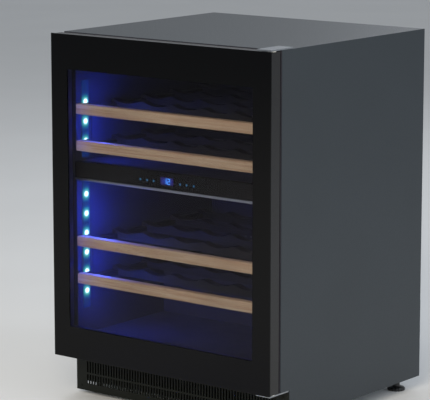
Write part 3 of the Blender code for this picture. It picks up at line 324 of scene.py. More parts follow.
def drawn_metal(name, dark, light, roughness, streak_mm, stretch, patch_mm=30):
    """Rolled or drawn metal: fine streaks, long where `stretch` is small, and dull patches."""
    material, tree, shader = new_finish(name, light, roughness, Metallic=1.0)
    place = add(tree, "TexCoord").outputs["Object"]
    along = add(tree, "Mapping", {"Vector": place, "Scale": stretch}).outputs["Vector"]
    streak = add(tree, "TexNoise", {"Vector": along, "Scale": MM / streak_mm, "Detail": 3.0})
    patch = add(tree, "TexNoise", {"Vector": place, "Scale": MM / patch_mm, "Detail": 4.0})
    tone = add(tree, "Mix", {
        0: patch.outputs["Fac"], "A": linear(dark), "B": linear(light)}, data_type="RGBA")
    tree.links.new(tone.outputs["Result"], shader.inputs["Base Color"])
    gloss = add(tree, "MapRange", {
        "Value": streak.outputs["Fac"], "From Min": 0.3, "From Max": 0.7,
        "To Min": roughness - 0.07, "To Max": roughness + 0.09})
    tree.links.new(gloss.outputs["Result"], shader.inputs["Roughness"])
    bump = add(tree, "Bump", {
        "Height": streak.outputs["Fac"], "Strength": 0.25, "Distance": 0.02 / MM})
    tree.links.new(bump.outputs["Normal"], shader.inputs["Normal"])
    return material


LONG = 0.02
EVEN = (1, 1, 1)
finishes["zinc_sheet"] = galvanised("hot_dip_galvanised_steel", "#8f979c", "#b9c0c4", 14)
finishes["zinc_steel"] = drawn_metal(
    "zinc_plated_steel", "#8d9299", "#b4b7ba", 0.34, 1.5, EVEN, 6)
finishes["aluminium"] = drawn_metal(
    "rolled_aluminium", "#a9acb0", "#c6c9cc", 0.36, 0.8, (LONG, 1, 1))
finishes["trim"] = drawn_metal(
    "satin_anodised_aluminium_trim", "#dcdce2", "#f0f0f4", 0.42, 0.8, (LONG, 1, 1))
# The spacer's blue-violet tones are painted light from the blue lamps, not the aluminium's colour.
finishes["spacer_aluminium"] = drawn_metal(
    "aluminium_spacer_with_painted_blue_light", "#545686", "#66689a", 0.48, 0.8, (LONG, 1, LONG))
finishes["copper"] = drawn_metal(
    "drawn_copper_tube", "#8a4b2f", "#c07850", 0.30, 1.2, EVEN, 12)
print("metals:", ["zinc_sheet", "zinc_steel", "aluminium", "trim", "spacer_aluminium", "copper"])

# %% [markdown]
# ## Beech
#
# Beech is pale and pinkish, with straight, close grain and short dark flecks, which are the cut
# rays of the wood. The strips are planed and oiled, not varnished; the racks behind them are
# stained black. Long planks have growth lines a few millimetres apart. The lines run along the
# strip, so the noise that draws them is stretched along X, and the same noise gives small dots
# where the end grain shows.

# %% Beech
LINE_MM = 3.5
FLECK_MM = 0.9
LINE_STRETCH = (0.025, 1, 1)
FLECK_STRETCH = (0.08, 1, 1)
PLANK_MM = 150


def beech(name, dark, middle, light, fleck_color, roughness):
    """Three noises: growth lines, short flecks 12 times as long as wide, and a slow drift of tone."""
    material, tree, shader = new_finish(name, middle, roughness, IOR=1.46)
    place = add(tree, "TexCoord").outputs["Object"]
    lined = add(tree, "Mapping", {"Vector": place, "Scale": LINE_STRETCH}).outputs["Vector"]
    lines = add(tree, "TexNoise", {
        "Vector": lined, "Scale": MM / LINE_MM, "Detail": 4.0, "Distortion": 0.4}).outputs["Fac"]
    grain = add(tree, "ValToRGB", {"Fac": lines})
    ramp = grain.color_ramp
    ramp.elements[0].position, ramp.elements[0].color = 0.30, linear(dark)
    ramp.elements[1].position, ramp.elements[1].color = 0.72, linear(light)
    ramp.elements.new(0.50).color = linear(middle)
    drift = add(tree, "TexNoise", {
        "Vector": place, "Scale": MM / PLANK_MM, "Detail": 1.0}).outputs["Fac"]
    toned = add(tree, "HueSaturation", {"Color": grain.outputs["Color"], "Saturation": 0.95})
    shade = add(tree, "MapRange", {
        "Value": drift, "From Min": 0.3, "From Max": 0.7, "To Min": 0.9, "To Max": 1.08})
    tree.links.new(shade.outputs["Result"], toned.inputs["Value"])
    short = add(tree, "Mapping", {"Vector": place, "Scale": FLECK_STRETCH}).outputs["Vector"]
    fleck = add(tree, "TexNoise", {
        "Vector": short, "Scale": MM / FLECK_MM, "Detail": 0.0}).outputs["Fac"]
    cut = add(tree, "MapRange", {
        "Value": fleck, "From Min": 0.66, "From Max": 0.72, "To Min": 0.0, "To Max": 0.55}, clamp=True)
    wood = add(tree, "Mix", {
        0: cut.outputs["Result"], "A": toned.outputs["Color"],
        "B": linear(fleck_color)}, data_type="RGBA")
    tree.links.new(wood.outputs["Result"], shader.inputs["Base Color"])
    bump = add(tree, "Bump", {"Height": lines, "Strength": 0.3, "Distance": 0.15 / MM})
    tree.links.new(bump.outputs["Normal"], shader.inputs["Normal"])
    return material


finishes["beech"] = beech(
    "oiled_steamed_beech", "#cfa27c", "#e0bb95", "#efd3b0", "#a97b52", 0.46)
finishes["black_stain"] = beech(
    "black_stained_beech", "#1c1817", "#26211f", "#302a27", "#0c0a09", 0.50)
print("beech:", len(finishes["beech"].node_tree.nodes), "nodes")

# %% [markdown]
# ## Foam and circuit board
#
# Rigid foam fills the walls. It is poured as a liquid and rises, and its cut cells are about a
# millimetre across. The circuit board behind the control panel is glass fibre under a green
# lacquer, over copper tracks. Both are hidden in the closed cooler, but they are there in every
# cut-away view.

# %% Foam and board
CELL_MM = 1.8
TRACK_MM = 10


def rigid_foam(name):
    """Cut cells: the distance to each Voronoi cell's middle gives its hollow and painted shade in it.
    """
    material, tree, shader = new_finish(name, "#e0d3a4", 0.85)
    place = add(tree, "TexCoord").outputs["Object"]
    cell = add(tree, "TexVoronoi", {"Vector": place, "Scale": MM / CELL_MM}).outputs["Distance"]
    # Painted shade: each cell is coloured darker towards its middle, deep in its hollow.
    tone = add(tree, "Mix", {
        0: cell, "A": linear("#cdbd88"), "B": linear("#eee2ba")}, data_type="RGBA")
    tree.links.new(tone.outputs["Result"], shader.inputs["Base Color"])
    bump = add(tree, "Bump", {"Height": cell, "Strength": 0.7, "Distance": 0.5 / MM})
    tree.links.new(bump.outputs["Normal"], shader.inputs["Normal"])
    return material


def circuit_board(name):
    """Tracks as the joints of a brick pattern, lighter than the lacquer between them."""
    material, tree, shader = new_finish(name, "#14502c", 0.3)
    place = add(tree, "TexCoord").outputs["Object"]
    flat = add(tree, "Mapping", {
        "Vector": place, "Rotation": (math.radians(90), 0, 0)}).outputs["Vector"]
    tracks = add(tree, "TexBrick", {
        "Vector": flat, "Scale": MM / TRACK_MM, "Mortar Size": 0.04, "Color1": linear("#0f4325"),
        "Color2": linear("#165331"), "Mortar": linear("#3b8a4e")})
    tree.links.new(tracks.outputs["Color"], shader.inputs["Base Color"])
    bump = add(tree, "Bump", {
        "Height": tracks.outputs["Fac"], "Strength": 0.4, "Distance": 0.05 / MM})
    tree.links.new(bump.outputs["Normal"], shader.inputs["Normal"])
    return material


finishes["foam"] = rigid_foam("rigid_polyurethane_foam")
finishes["circuit_board"] = circuit_board("green_lacquered_board")
print("finishes so far:", len(finishes))

# %% [markdown]
# ## The door glass
#
# The outer pane covers the whole door. A black ceramic ink is fired on its back as a border,
# which hides the frame and the seal, and the middle is smoked glass that shows the shelves. It is
# one sheet, so it is one material with a mask: inside the window, the glass lets tinted light
# through and mirrors a little more at a slant; outside, it is black and glossy. The mask is a
# rectangle on Object coordinates, and the edge of the ink is sharp. Blender's Fresnel node would
# mirror everything at a slant, from inside a sheet whose light isn't bent, so the share that is
# mirrored is worked out from the angle instead, alike on both sides.

# %% Panes
unit_low, unit_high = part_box("glass_spacer")
INK_COVERS = 0.0140
INK_HALF = unit_high.x - INK_COVERS
INK_LOW = unit_low.z + INK_COVERS
INK_HIGH = unit_high.z - INK_COVERS
INK_SOFT = 0.0004
OUTER_HEAD_ON = 0.006
INNER_HEAD_ON = 0.0025
SMEAR_MM = {"outer": 90, "inner": 70}


def window_glass(tree, tint, head_on, roughness):
    """Clear, less the mirrored share s + (1 - s) * (1 - cos a)^5, where s is the head-on share.

    The share is the same for both sides of a face, so light also leaves the sheet at a slant.
    """
    facing = add(tree, "LayerWeight", {"Blend": 0.5}).outputs["Facing"]
    rise = add(tree, "Math", {0: facing, 1: 5.0}, operation="POWER")
    share = add(tree, "MapRange", {
        "Value": rise.outputs["Value"], "To Min": head_on, "To Max": 1.0})
    clear = add(tree, "BsdfTransparent", {"Color": linear(tint)})
    mirror = add(tree, "BsdfGlossy", {"Color": linear("#ffffff"), "Roughness": roughness})
    return add(tree, "MixShader", {
        0: share.outputs["Result"], 1: clear.outputs["BSDF"], 2: mirror.outputs["BSDF"]})


def smoked_pane(name, tint):
    """Ink where max(|x| - half width, |z - middle| - half height) > 0, and smoked glass elsewhere."""
    material, tree, shader = new_finish(
        name, "#020203", 0.03, IOR=1.5, Specular_IOR_Level=0.15)
    place = add(tree, "TexCoord").outputs["Object"]
    split = add(tree, "SeparateXYZ", {"Vector": place})
    wide = add(tree, "Math", {0: split.outputs["X"]}, operation="ABSOLUTE")
    wide = add(tree, "Math", {0: wide.outputs["Value"], 1: INK_HALF}, operation="SUBTRACT")
    tall = add(tree, "Math", {
        0: split.outputs["Z"], 1: (INK_LOW + INK_HIGH) / 2}, operation="SUBTRACT")
    tall = add(tree, "Math", {0: tall.outputs["Value"]}, operation="ABSOLUTE")
    tall = add(tree, "Math", {
        0: tall.outputs["Value"], 1: (INK_HIGH - INK_LOW) / 2}, operation="SUBTRACT")
    edge = add(tree, "Math", {
        0: wide.outputs["Value"], 1: tall.outputs["Value"]}, operation="MAXIMUM")
    ink = add(tree, "MapRange", {
        "Value": edge.outputs["Value"], "From Min": -INK_SOFT, "From Max": INK_SOFT}, clamp=True)
    window = window_glass(tree, tint, OUTER_HEAD_ON, 0.02)
    sheet = add(tree, "MixShader", {
        0: ink.outputs["Result"], 1: window.outputs["Shader"], 2: shader.outputs["BSDF"]})
    smear = add(tree, "TexNoise", {
        "Vector": place, "Scale": MM / SMEAR_MM["outer"], "Detail": 3.0}).outputs["Fac"]
    gloss = add(tree, "MapRange", {"Value": smear, "To Min": 0.02, "To Max": 0.07})
    tree.links.new(gloss.outputs["Result"], shader.inputs["Roughness"])
    tree.links.new(sheet.outputs["Shader"], tree.nodes["Material Output"].inputs["Surface"])
    return material


def clear_pane(name, tint):
    """Clear float glass, a little smeared, so that its mirror image isn't sharp everywhere."""
    material = bpy.data.materials.new(name)
    material.use_nodes = True
    tree = material.node_tree
    tree.nodes.remove(tree.nodes["Principled BSDF"])
    place = add(tree, "TexCoord").outputs["Object"]
    smear = add(tree, "TexNoise", {
        "Vector": place, "Scale": MM / SMEAR_MM["inner"], "Detail": 3.0}).outputs["Fac"]
    gloss = add(tree, "MapRange", {"Value": smear, "To Min": 0.01, "To Max": 0.06})
    glass = window_glass(tree, tint, INNER_HEAD_ON, gloss.outputs["Result"])
    tree.links.new(glass.outputs["Shader"], tree.nodes["Material Output"].inputs["Surface"])
    return material


finishes["black_glass"] = smoked_pane("smoked_float_glass_with_fired_ink", "#eae8ee")
finishes["clear_glass"] = clear_pane("clear_float_glass", "#f6faf7")
print("window", round(2 * INK_HALF, 3), "x", round(INK_HIGH - INK_LOW, 3), "m")

# %% [markdown]
# ## Things that glow
#
# A strip of small blue lamps stands under a milky lens on the left wall of each zone. A real lens
# shows a white-hot spot over each lamp, a green-blue halo, and a dim blue in between. Here the
# distance to the nearest lamp, over the spacing of the lamps, goes through a colour ramp. Past the
# first and the last lamp the glow fades. The display has a dim blue glow of its own.

# %% Lens and display
LAMP_PITCH = 0.0435
# For each zone: the height of its lowest lamp, and how many lamps it has.
LAMPS = {"upper": (0.575, 3), "lower": (0.239, 6)}
LENS_GLOW = 1.2
DISPLAY_GLOW = 0.9
UNEVEN_MM = 2
LENS_HALO = ((0.16, "#94f0e2"), (0.25, "#2f9c98"), (0.36, "#1c5688"))


def milky_lens(name, first, count, middle_y):
    """Glow by the distance to the nearest lamp, in pitches: hypot(n - m, (y - middle) / pitch).

    n = (z - first) / pitch is the place along the strip, and m is n rounded, from 0 to count - 1.
    """
    material, tree, shader = new_finish(name, "#0e1120", 0.35, IOR=1.49)
    place = add(tree, "TexCoord").outputs["Object"]
    split = add(tree, "SeparateXYZ", {"Vector": place})
    along = add(tree, "MapRange", {
        "Value": split.outputs["Z"], "From Min": first, "From Max": first + LAMP_PITCH,
        "To Min": 0.0, "To Max": 1.0}, clamp=False)
    nearest = add(tree, "Math", {0: along.outputs["Result"]}, operation="ROUND")
    nearest = add(tree, "Math", {0: nearest.outputs["Value"], 1: count - 1.0}, operation="MINIMUM")
    nearest = add(tree, "Math", {0: nearest.outputs["Value"], 1: 0.0}, operation="MAXIMUM")
    above = add(tree, "Math", {
        0: along.outputs["Result"], 1: nearest.outputs["Value"]}, operation="SUBTRACT")
    aside = add(tree, "Math", {0: split.outputs["Y"], 1: middle_y}, operation="SUBTRACT")
    aside = add(tree, "Math", {0: aside.outputs["Value"], 1: 1 / LAMP_PITCH}, operation="MULTIPLY")
    offset = add(tree, "CombineXYZ", {"X": above.outputs["Value"], "Y": aside.outputs["Value"]})
    away = add(tree, "VectorMath", {0: offset.outputs["Vector"]}, operation="LENGTH")
    glow = add(tree, "ValToRGB", {"Fac": away.outputs["Value"]})
    stops = glow.color_ramp
    stops.interpolation = "EASE"
    stops.elements[0].position, stops.elements[0].color = 0.09, linear("#ffffff")
    stops.elements[1].position, stops.elements[1].color = 0.50, linear("#14306c")
    for where, code in LENS_HALO:
        stops.elements.new(where).color = linear(code)
    tree.links.new(glow.outputs["Color"], shader.inputs["Emission Color"])
    shader.inputs["Emission Strength"].default_value = LENS_GLOW
    return material


def display_lens(name):
    """A smoked lens with a blue glow that fades from the middle of the display to its edges."""
    material, tree, shader = new_finish(name, "#0a0c1c", 0.12, IOR=1.49)
    place = add(tree, "TexCoord").outputs["Object"]
    low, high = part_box("control_display")
    middle, half = (low + high) / 2, (high - low) / 2
    centred = add(tree, "Mapping", {
        "Vector": place, "Location": (-middle.x / half.x, 0.0, -middle.z / half.z),
        "Scale": (1 / half.x, 0.0, 1 / half.z)})
    away = add(tree, "VectorMath", {0: centred.outputs["Vector"]}, operation="LENGTH")
    glow = add(tree, "ValToRGB", {"Fac": away.outputs["Value"]})
    stops = glow.color_ramp
    stops.elements[0].position, stops.elements[0].color = 0.2, linear("#2a50c4")
    stops.elements[1].position, stops.elements[1].color = 1.0, linear("#2a1c6c")
    tree.links.new(glow.outputs["Color"], shader.inputs["Emission Color"])
    shader.inputs["Emission Strength"].default_value = DISPLAY_GLOW
    return material


def lit(name, color, hot, strength):
    """A small lit spot, uneven over 2 mm, as ink over a lamp is: the tone runs from color to hot."""
    material, tree, shader = new_finish(name, color, 0.3)
    place = add(tree, "TexCoord").outputs["Object"]
    uneven = add(tree, "TexNoise", {
        "Vector": place, "Scale": MM / UNEVEN_MM, "Detail": 1.0}).outputs["Fac"]
    tone = add(tree, "Mix", {0: uneven, "A": linear(color), "B": linear(hot)}, data_type="RGBA")
    tree.links.new(tone.outputs["Result"], shader.inputs["Emission Color"])
    shader.inputs["Emission Strength"].default_value = strength
    return material


for zone, (first, count) in LAMPS.items():
    strip_low, strip_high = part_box(f"led_strip_{zone}")
    finishes[f"led_cover_{zone}"] = milky_lens(
        f"milky_acrylic_over_{zone}_lamps", first, count, (strip_low.y + strip_high.y) / 2)
finishes["led_cover"] = finishes["led_cover_lower"]
finishes["display"] = display_lens("smoked_acrylic_display")
print(len(finishes), "finishes are ready")

# %% Each CAD node takes the finish of its slot
def dress(node, material):
    """Puts one material in every slot of a CAD node, whose mesh stays as it is."""
    for slot in frame["nodes"][node].material_slots:
        slot.material = material


slot_of = {part["node"]: part["material_slot"] for part in frame["record"]["subparts"]}
for node, slot_name in slot_of.items():
    dress(node, finishes[slot_name])
print(len(slot_of), "nodes dressed in", len(set(slot_of.values())), "finishes")

# %% [markdown]
# ## Surfaces from arrays
#
# Each new piece is a grid of points that numpy works out at once. Rows follow one parameter and
# columns the other. Blender could make the same shapes with curves, bevels and screws, but an
# array says exactly where every point is, and gives an even, light mesh. A grid closes on itself
# by joining its last row or column to its first; a pole is a row of points in one place, which
# are merged afterwards. Merging also lets the normals be turned outwards all together.

# %% Grids, and a mesh from grids
def grid_faces(rows, columns, wrap_rows=False, wrap_columns=True):
    """The four neighbours (r, c), (r, c+1), (r+1, c+1), (r+1, c) of every cell, as point numbers."""
    r, c = np.meshgrid(
        np.arange(rows if wrap_rows else rows - 1),
        np.arange(columns if wrap_columns else columns - 1), indexing="ij")
    below, beside = (r + 1) % rows, (c + 1) % columns
    quads = np.stack(
        [r * columns + c, r * columns + beside, below * columns + beside, below * columns + c], -1)
    return quads.reshape(-1, 4)


WELD = 2e-6
CREASE = math.radians(38)


def new_piece(name, grids, material, body, replaced=()):
    """Joins grids, each (points, faces), into one welded, outward-facing mesh on a body."""
    points, faces, first = [], [], 0
    for grid, quads in grids:
        points.append(grid.reshape(-1, 3))
        faces.append(quads + first)
        first += len(points[-1])
    points, faces = np.concatenate(points), np.concatenate(faces)
    mesh = bpy.data.meshes.new(name)
    mesh.from_pydata(points.tolist(), [], faces.tolist())
    work = bmesh.new()
    work.from_mesh(mesh)
    bmesh.ops.remove_doubles(work, verts=work.verts, dist=WELD)
    bmesh.ops.dissolve_degenerate(work, edges=work.edges, dist=WELD)
    bmesh.ops.recalc_face_normals(work, faces=work.faces)
    work.to_mesh(mesh)
    work.free()
    mesh.polygons.foreach_set("use_smooth", np.ones(len(mesh.polygons), bool))
    mesh.set_sharp_from_angle(angle=CREASE)
    mesh.materials.append(material)
    piece = bpy.data.objects.new(name, mesh)
    bpy.context.scene.collection.objects.link(piece)
    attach(piece, body)
    if replaced:
        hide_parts(*replaced)
    return piece


print("a 3 x 4 closed grid has", len(grid_faces(3, 4)), "cells")

# %% A bar with every edge rounded
ARC = 5


def rounded_bar(low, high, radius):
    """The box from low to high with round edges: a ring of four arcs, carried along the longest side.

    The arcs stay centred `radius` inside the corners. Over each end their own radius follows a
    quarter circle, radius * cos(t), as the ring moves on by radius * sin(t), and the last ring
    shrinks to a pole.
    """
    low, high = np.array(low, float), np.array(high, float)
    along = int(np.argmax(high - low))
    across = [i for i in range(3) if i != along]
    middle, half = (low + high) / 2, (high - low) / 2
    bend = np.linspace(0, math.pi / 2, ARC)
    arcs = np.concatenate([bend + quarter * math.pi / 2 for quarter in range(4)])
    sign_u = np.repeat([1, -1, -1, 1], ARC)
    sign_v = np.repeat([1, 1, -1, -1], ARC)
    turn = np.concatenate([-bend[::-1], bend])
    station = np.repeat([-1, 1], ARC) * (half[along] - radius) + radius * np.sin(turn)
    station = np.concatenate([station[:1], station, station[-1:]])
    ring = np.concatenate([[0.0], radius * np.cos(turn), [0.0]])
    spread = np.concatenate([[0.0], np.ones(2 * ARC), [0.0]])
    grid = np.zeros((len(station), len(arcs), 3))
    grid[..., along] = station[:, None]
    for axis, sign, wave in ((across[0], sign_u, np.cos(arcs)), (across[1], sign_v, np.sin(arcs))):
        grid[..., axis] = spread[:, None] * (half[axis] - radius) * sign + ring[:, None] * wave
    return grid + middle, grid_faces(len(station), len(arcs))


print("a bar has", len(rounded_bar((0, 0, 0), (1, 0.1, 0.1), 0.01)[1]), "faces")

# %% A profile turned round an axis, copied to many places
AXES = {
    "X": ((0, 1, 0), (0, 0, 1), (1, 0, 0)), "Y": ((0, 0, 1), (1, 0, 0), (0, 1, 0)),
    "Z": ((1, 0, 0), (0, 1, 0), (0, 0, 1)), "-X": ((0, 0, 1), (0, 1, 0), (-1, 0, 0)),
    "-Y": ((1, 0, 0), (0, 0, 1), (0, -1, 0)), "-Z": ((0, 1, 0), (1, 0, 0), (0, 0, -1)),
}


def turned(radius, height, places, axis="Z", steps=24):
    """Points place + r * (cos a * U + sin a * V) + h * N, with U, V, N the axes of the turn.

    radius and height list the profile, or are grids (profile, step) if they change with the angle.
    """
    radius, height = np.asarray(radius, float), np.asarray(height, float)
    angle = np.linspace(0, 2 * math.pi, steps, endpoint=False)
    if radius.ndim == 1:
        radius = radius[:, None] + 0 * angle
    if height.ndim == 1:
        height = height[:, None] + 0 * angle
    u, v, n = (np.array(direction, float) for direction in AXES[axis])
    one = (radius * np.cos(angle))[..., None] * u + (radius * np.sin(angle))[..., None] * v
    one = one + height[..., None] * n
    places = np.asarray(places, float).reshape(-1, 3)
    faces = grid_faces(len(radius), steps)
    return [(one + place, faces) for place in places]


print("a turned profile of 5 rings has", len(turned(range(5), range(5), (0, 0, 0))[0][1]), "faces")

# %% [markdown]
# ## Beech strips
#
# Each shelf ends in a planed strip of beech, the one warm part of the cooler. Its long edges are
# rounded by hand sanding to about two millimetres, which catches a thin line of light along the
# top. The CAD strips are replaced by rounded bars, so that this line is soft.

# %% Shelf strips
STRIP_ROUND = 0.0022
for number in range(1, 5):
    node = f"shelf_front_{number}"
    low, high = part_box(node)
    strip = new_piece(
        f"beech_strip_{number}", [rounded_bar(low, high, STRIP_ROUND)], finishes["beech"],
        f"shelf_{number}", [node])
    print(strip.name, [round(size, 4) for size in strip.dimensions])

# %% [markdown]
# ## Lamps on the left wall
#
# The light strip of each zone is a narrow board of small lamps under a milky lens with round
# edges. The lens gets its glow from its finish. Over each lamp, the lens bulges a little, which
# spreads the light. The light that reaches the shelves comes from small point lamps in front of
# the lens, because a lens a few millimetres wide is too small to light a picture without noise.
# A second, much dimmer row stands between the panes, where it tints the ends of the strips.

# %% Lens and bulges
LENS_ROUND = 0.0012
BULGE_RADIUS = 0.0055
BULGE_HEIGHT = 0.0022
BULGE_SUNK = 0.2
BULGE_RINGS = 7
LAMP_AWAY = 0.060
LAMP_WATTS = 0.8
LAMP_RADIUS = 0.012
GLOW_AWAY = 0.016
GLOW_WATTS = 0.04


def blue_lamp(name, place, watts):
    """A small round lamp that the camera doesn't see, only what it lights."""
    data = bpy.data.lights.new(name, "POINT")
    data.energy = watts
    data.color = linear("#2a48f4")[:3]
    data.shadow_soft_size = LAMP_RADIUS
    lamp = bpy.data.objects.new(name, data)
    lamp.location = place
    lamp.visible_camera = False
    lamp.visible_glossy = False
    bpy.context.scene.collection.objects.link(lamp)


fall = np.linspace(math.pi / 2, 0, BULGE_RINGS)
between_panes = (unit_low.y + unit_high.y) / 2
for zone, (first, count) in LAMPS.items():
    node = f"led_strip_{zone}"
    low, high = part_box(node)
    face = high.x - BULGE_HEIGHT * BULGE_SUNK
    middle = (low.y + high.y) / 2
    heights = [first + LAMP_PITCH * k for k in range(count)]
    bulges = turned(
        BULGE_RADIUS * np.sin(fall), BULGE_HEIGHT * np.cos(fall),
        [(face, middle, z) for z in heights], "X", 20)
    new_piece(
        f"lamp_lens_{zone}", [rounded_bar(low, (face, high.y, high.z), LENS_ROUND)],
        finishes[f"led_cover_{zone}"], "cabinet", [node])
    new_piece(
        f"lamp_bulges_{zone}", bulges, lit("white_hot_lamp_window", "#c8fff4", "#ffffff", 3.0),
        "cabinet")
    print(zone, "zone has", count, "lamps")
    for index, z in enumerate(heights):
        blue_lamp(f"blue_lamp_{zone}_{index}", (high.x + LAMP_AWAY, middle, z), LAMP_WATTS)
        blue_lamp(
            f"edge_glow_{zone}_{index}", (unit_low.x + GLOW_AWAY, between_panes, z), GLOW_WATTS)

# %% [markdown]
# ## Control panel
#
# The panel is a glossy black strip across the middle of the cooler. Along its lower edge runs a
# satin metal trim, which catches the light of the room. The display shows two figures for the
# temperature, each made of some of seven straight segments, and three touch spots stand on each
# side.

# %% Trim, figures and touch spots
panel_low, panel_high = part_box("control_panel")
TRIM_HEIGHT = 0.0062
TRIM_ROUND = 0.0030
TRIM_GAP = 0.0002
trim = new_piece(
    "panel_trim", [rounded_bar(
        (panel_low.x, panel_low.y, panel_low.z - TRIM_GAP - TRIM_HEIGHT),
        (panel_high.x, panel_high.y, panel_low.z - TRIM_GAP), TRIM_ROUND)],
    finishes["trim"], "cabinet")
print("trim", [round(size, 4) for size in trim.dimensions])

display_low, display_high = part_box("control_display")
display_middle = (display_low + display_high) / 2
FIGURE = (0.0060, 0.0110)
SEGMENT = 0.0014
FIGURE_PITCH = 0.0100
PROUD = 0.0003
SEGMENTS = {"1": "bc", "2": "abged"}


def figure(shape, x, z):
    """The lit segments of one figure: a top, b and c right, d bottom, e and f left, g middle."""
    wide, tall = FIGURE[0] / 2, FIGURE[1] / 2
    ends = {
        "a": ((-wide, tall), (wide, tall)), "b": ((wide, 0), (wide, tall)),
        "c": ((wide, -tall), (wide, 0)), "d": ((-wide, -tall), (wide, -tall)),
        "e": ((-wide, -tall), (-wide, 0)), "f": ((-wide, 0), (-wide, tall)),
        "g": ((-wide, 0), (wide, 0))}
    bars, front, edge = [], display_low.y - PROUD, SEGMENT / 2
    for letter in shape:
        (x0, z0), (x1, z1) = ends[letter]
        bars.append(rounded_bar(
            (x + x0 - edge, front, z + z0 - edge),
            (x + x1 + edge, front + 2 * PROUD, z + z1 + edge), PROUD * 0.6))
    return bars


bars = figure(SEGMENTS["1"], display_middle.x - FIGURE_PITCH / 2, display_middle.z)
bars += figure(SEGMENTS["2"], display_middle.x + FIGURE_PITCH / 2, display_middle.z)
new_piece("display_figures", bars, lit("blue_lit_segments", "#3f93f2", "#62b4ff", 1.3),
          "cabinet")

TOUCH_AWAY = (0.036, 0.054, 0.073)
TOUCH_DROP = 0.0025
TOUCH_RADIUS = [0.0, 0.0012, 0.0020, 0.0023, 0.0023]
TOUCH_HEIGHT = [0.0002, 0.0002, 0.0002, 0.0001, -0.0004]
touch_places = [
    (side * away, panel_low.y, display_middle.z - TOUCH_DROP)
    for side in (-1, 1) for away in TOUCH_AWAY]
touch = turned(TOUCH_RADIUS, TOUCH_HEIGHT, touch_places, "-Y", 20)
new_piece("touch_spots", touch, lit("dim_blue_touch_spots", "#27557c", "#3a7ba6", 1.0),
          "cabinet")
print("figures:", len(bars), "segments; touch spots:", len(touch_places))

# %% [markdown]
# ## Door gasket
#
# The seal is an extruded plastic bellows. A square pocket holds the magnetic tape that pulls the
# door shut, one soft fold lets it reach the cabinet, and a barb grips the frame. It is cut at 45
# degrees and welded at the corners, so one profile is carried round four mitred corners.

# %% Bellows
gasket_low, gasket_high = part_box("door_gasket")


def mitred_frame(profile, low, high):
    """A closed profile of (inset, y) carried round a rectangle: corner + inset * (inward, inward)."""
    profile = np.array(profile, float)
    corners = np.array([(low.x, low.z, 1, 1), (high.x, low.z, -1, 1),
                        (high.x, high.z, -1, -1), (low.x, high.z, 1, -1)], float)
    grid = np.zeros((4, len(profile), 3))
    grid[..., 0] = corners[:, None, 0] + profile[:, 0] * corners[:, None, 2]
    grid[..., 1] = profile[:, 1]
    grid[..., 2] = corners[:, None, 1] + profile[:, 0] * corners[:, None, 3]
    return grid, grid_faces(4, len(profile), wrap_rows=True)


front = gasket_low.y
depth = gasket_high.y - front
# Each point: how far it lies inside the outer edge, and its share of the seal's depth.
BELLOWS = [
    (0.0, 0.00), (0.0180, 0.00), (0.0180, 0.12), (0.0172, 0.22), (0.0156, 0.30), (0.0150, 0.40),
    (0.0158, 0.50), (0.0172, 0.58), (0.0178, 0.70), (0.0176, 0.90), (0.0168, 1.00), (0.0100, 1.00),
    (0.0092, 0.96), (0.0086, 0.80), (0.0080, 0.66), (0.0072, 0.60), (0.0062, 0.64), (0.0054, 0.78),
    (0.0046, 0.92), (0.0036, 0.98), (0.0020, 0.96), (0.0008, 0.86), (0.0002, 0.70), (0.0, 0.45)]
outline = [(inset, front + share * depth) for inset, share in BELLOWS]
gasket = new_piece(
    "bellows_gasket", [mitred_frame(outline, gasket_low, gasket_high)], finishes["rubber"],
    "door", ["door_gasket"])
print("gasket", [round(size, 4) for size in gasket.dimensions])

# %% [markdown]
# ## Fasteners
#
# The sheets are held by pan-head screws with a cross recess. A real head is a shallow dome, seven
# or eight millimetres across. The dome is a grid of radius and angle whose height falls with the
# square of the radius, and the cross is pressed into it where either straight arm is near.

# %% Pan-head screws
def screw_heads(places, axis, radius=0.0040, height=0.0014):
    """Dome h * (1 - 0.75 (r/R)^2), less a cross 0.6 h deep.

    The cross is at its full depth within 0.12 R of an arm's middle line, and gone at 0.20 R. Its
    arms run out between 0.60 R and 0.72 R.
    """
    steps = 32
    share = np.array([0.0, 0.12, 0.24, 0.36, 0.48, 0.6, 0.7, 0.8, 0.9, 1.0, 1.0, 0.0])
    angle = np.linspace(0, 2 * math.pi, steps, endpoint=False)
    r = share[:, None] + 0 * angle
    arm = np.minimum(np.abs(np.cos(angle)), np.abs(np.sin(angle))) * share[:, None]
    cross = np.clip((0.20 - arm) / 0.08, 0, 1) * np.clip((0.72 - r) / 0.12, 0, 1)
    tall = height * (1 - 0.75 * r ** 2 - 0.6 * cross)
    tall[-2:] = 0.0
    return turned(radius * r, tall, places, axis, steps)


# Metres in from the edges of each sheet. The screws up the sides of the back start the first of
# BACK_ROWS above the floor, and end the second of them below its top edge.
BACK_MARGIN = 0.010
BACK_ROWS = (0.26, 0.14)
PLINTH_MARGIN = 0.014
PLINTH_HEIGHTS = (0.018, 0.084)
HINGE_MARGIN = 0.009
HINGE_AWAY = (0.050, 0.066)
DUCT_MARGIN = 0.012

low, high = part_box("back_panel")
left, right = low.x + BACK_MARGIN, high.x - BACK_MARGIN
places = [(x, high.y, high.z - BACK_MARGIN) for x in np.linspace(left, right, 5)]
places += [(x, high.y, z) for x in (left, right)
           for z in np.linspace(BACK_ROWS[0], high.z - BACK_ROWS[1], 4)]
new_piece("back_panel_screws", screw_heads(places, "Y"), finishes["zinc_steel"],
          "cabinet")

low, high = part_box("plinth_grille")
places = [(x, low.y, z) for x in (low.x + PLINTH_MARGIN, high.x - PLINTH_MARGIN)
          for z in PLINTH_HEIGHTS]
new_piece("plinth_screws", screw_heads(places, "-Y", 0.0034, 0.0012), finishes["plinth_paint"],
          "cabinet")

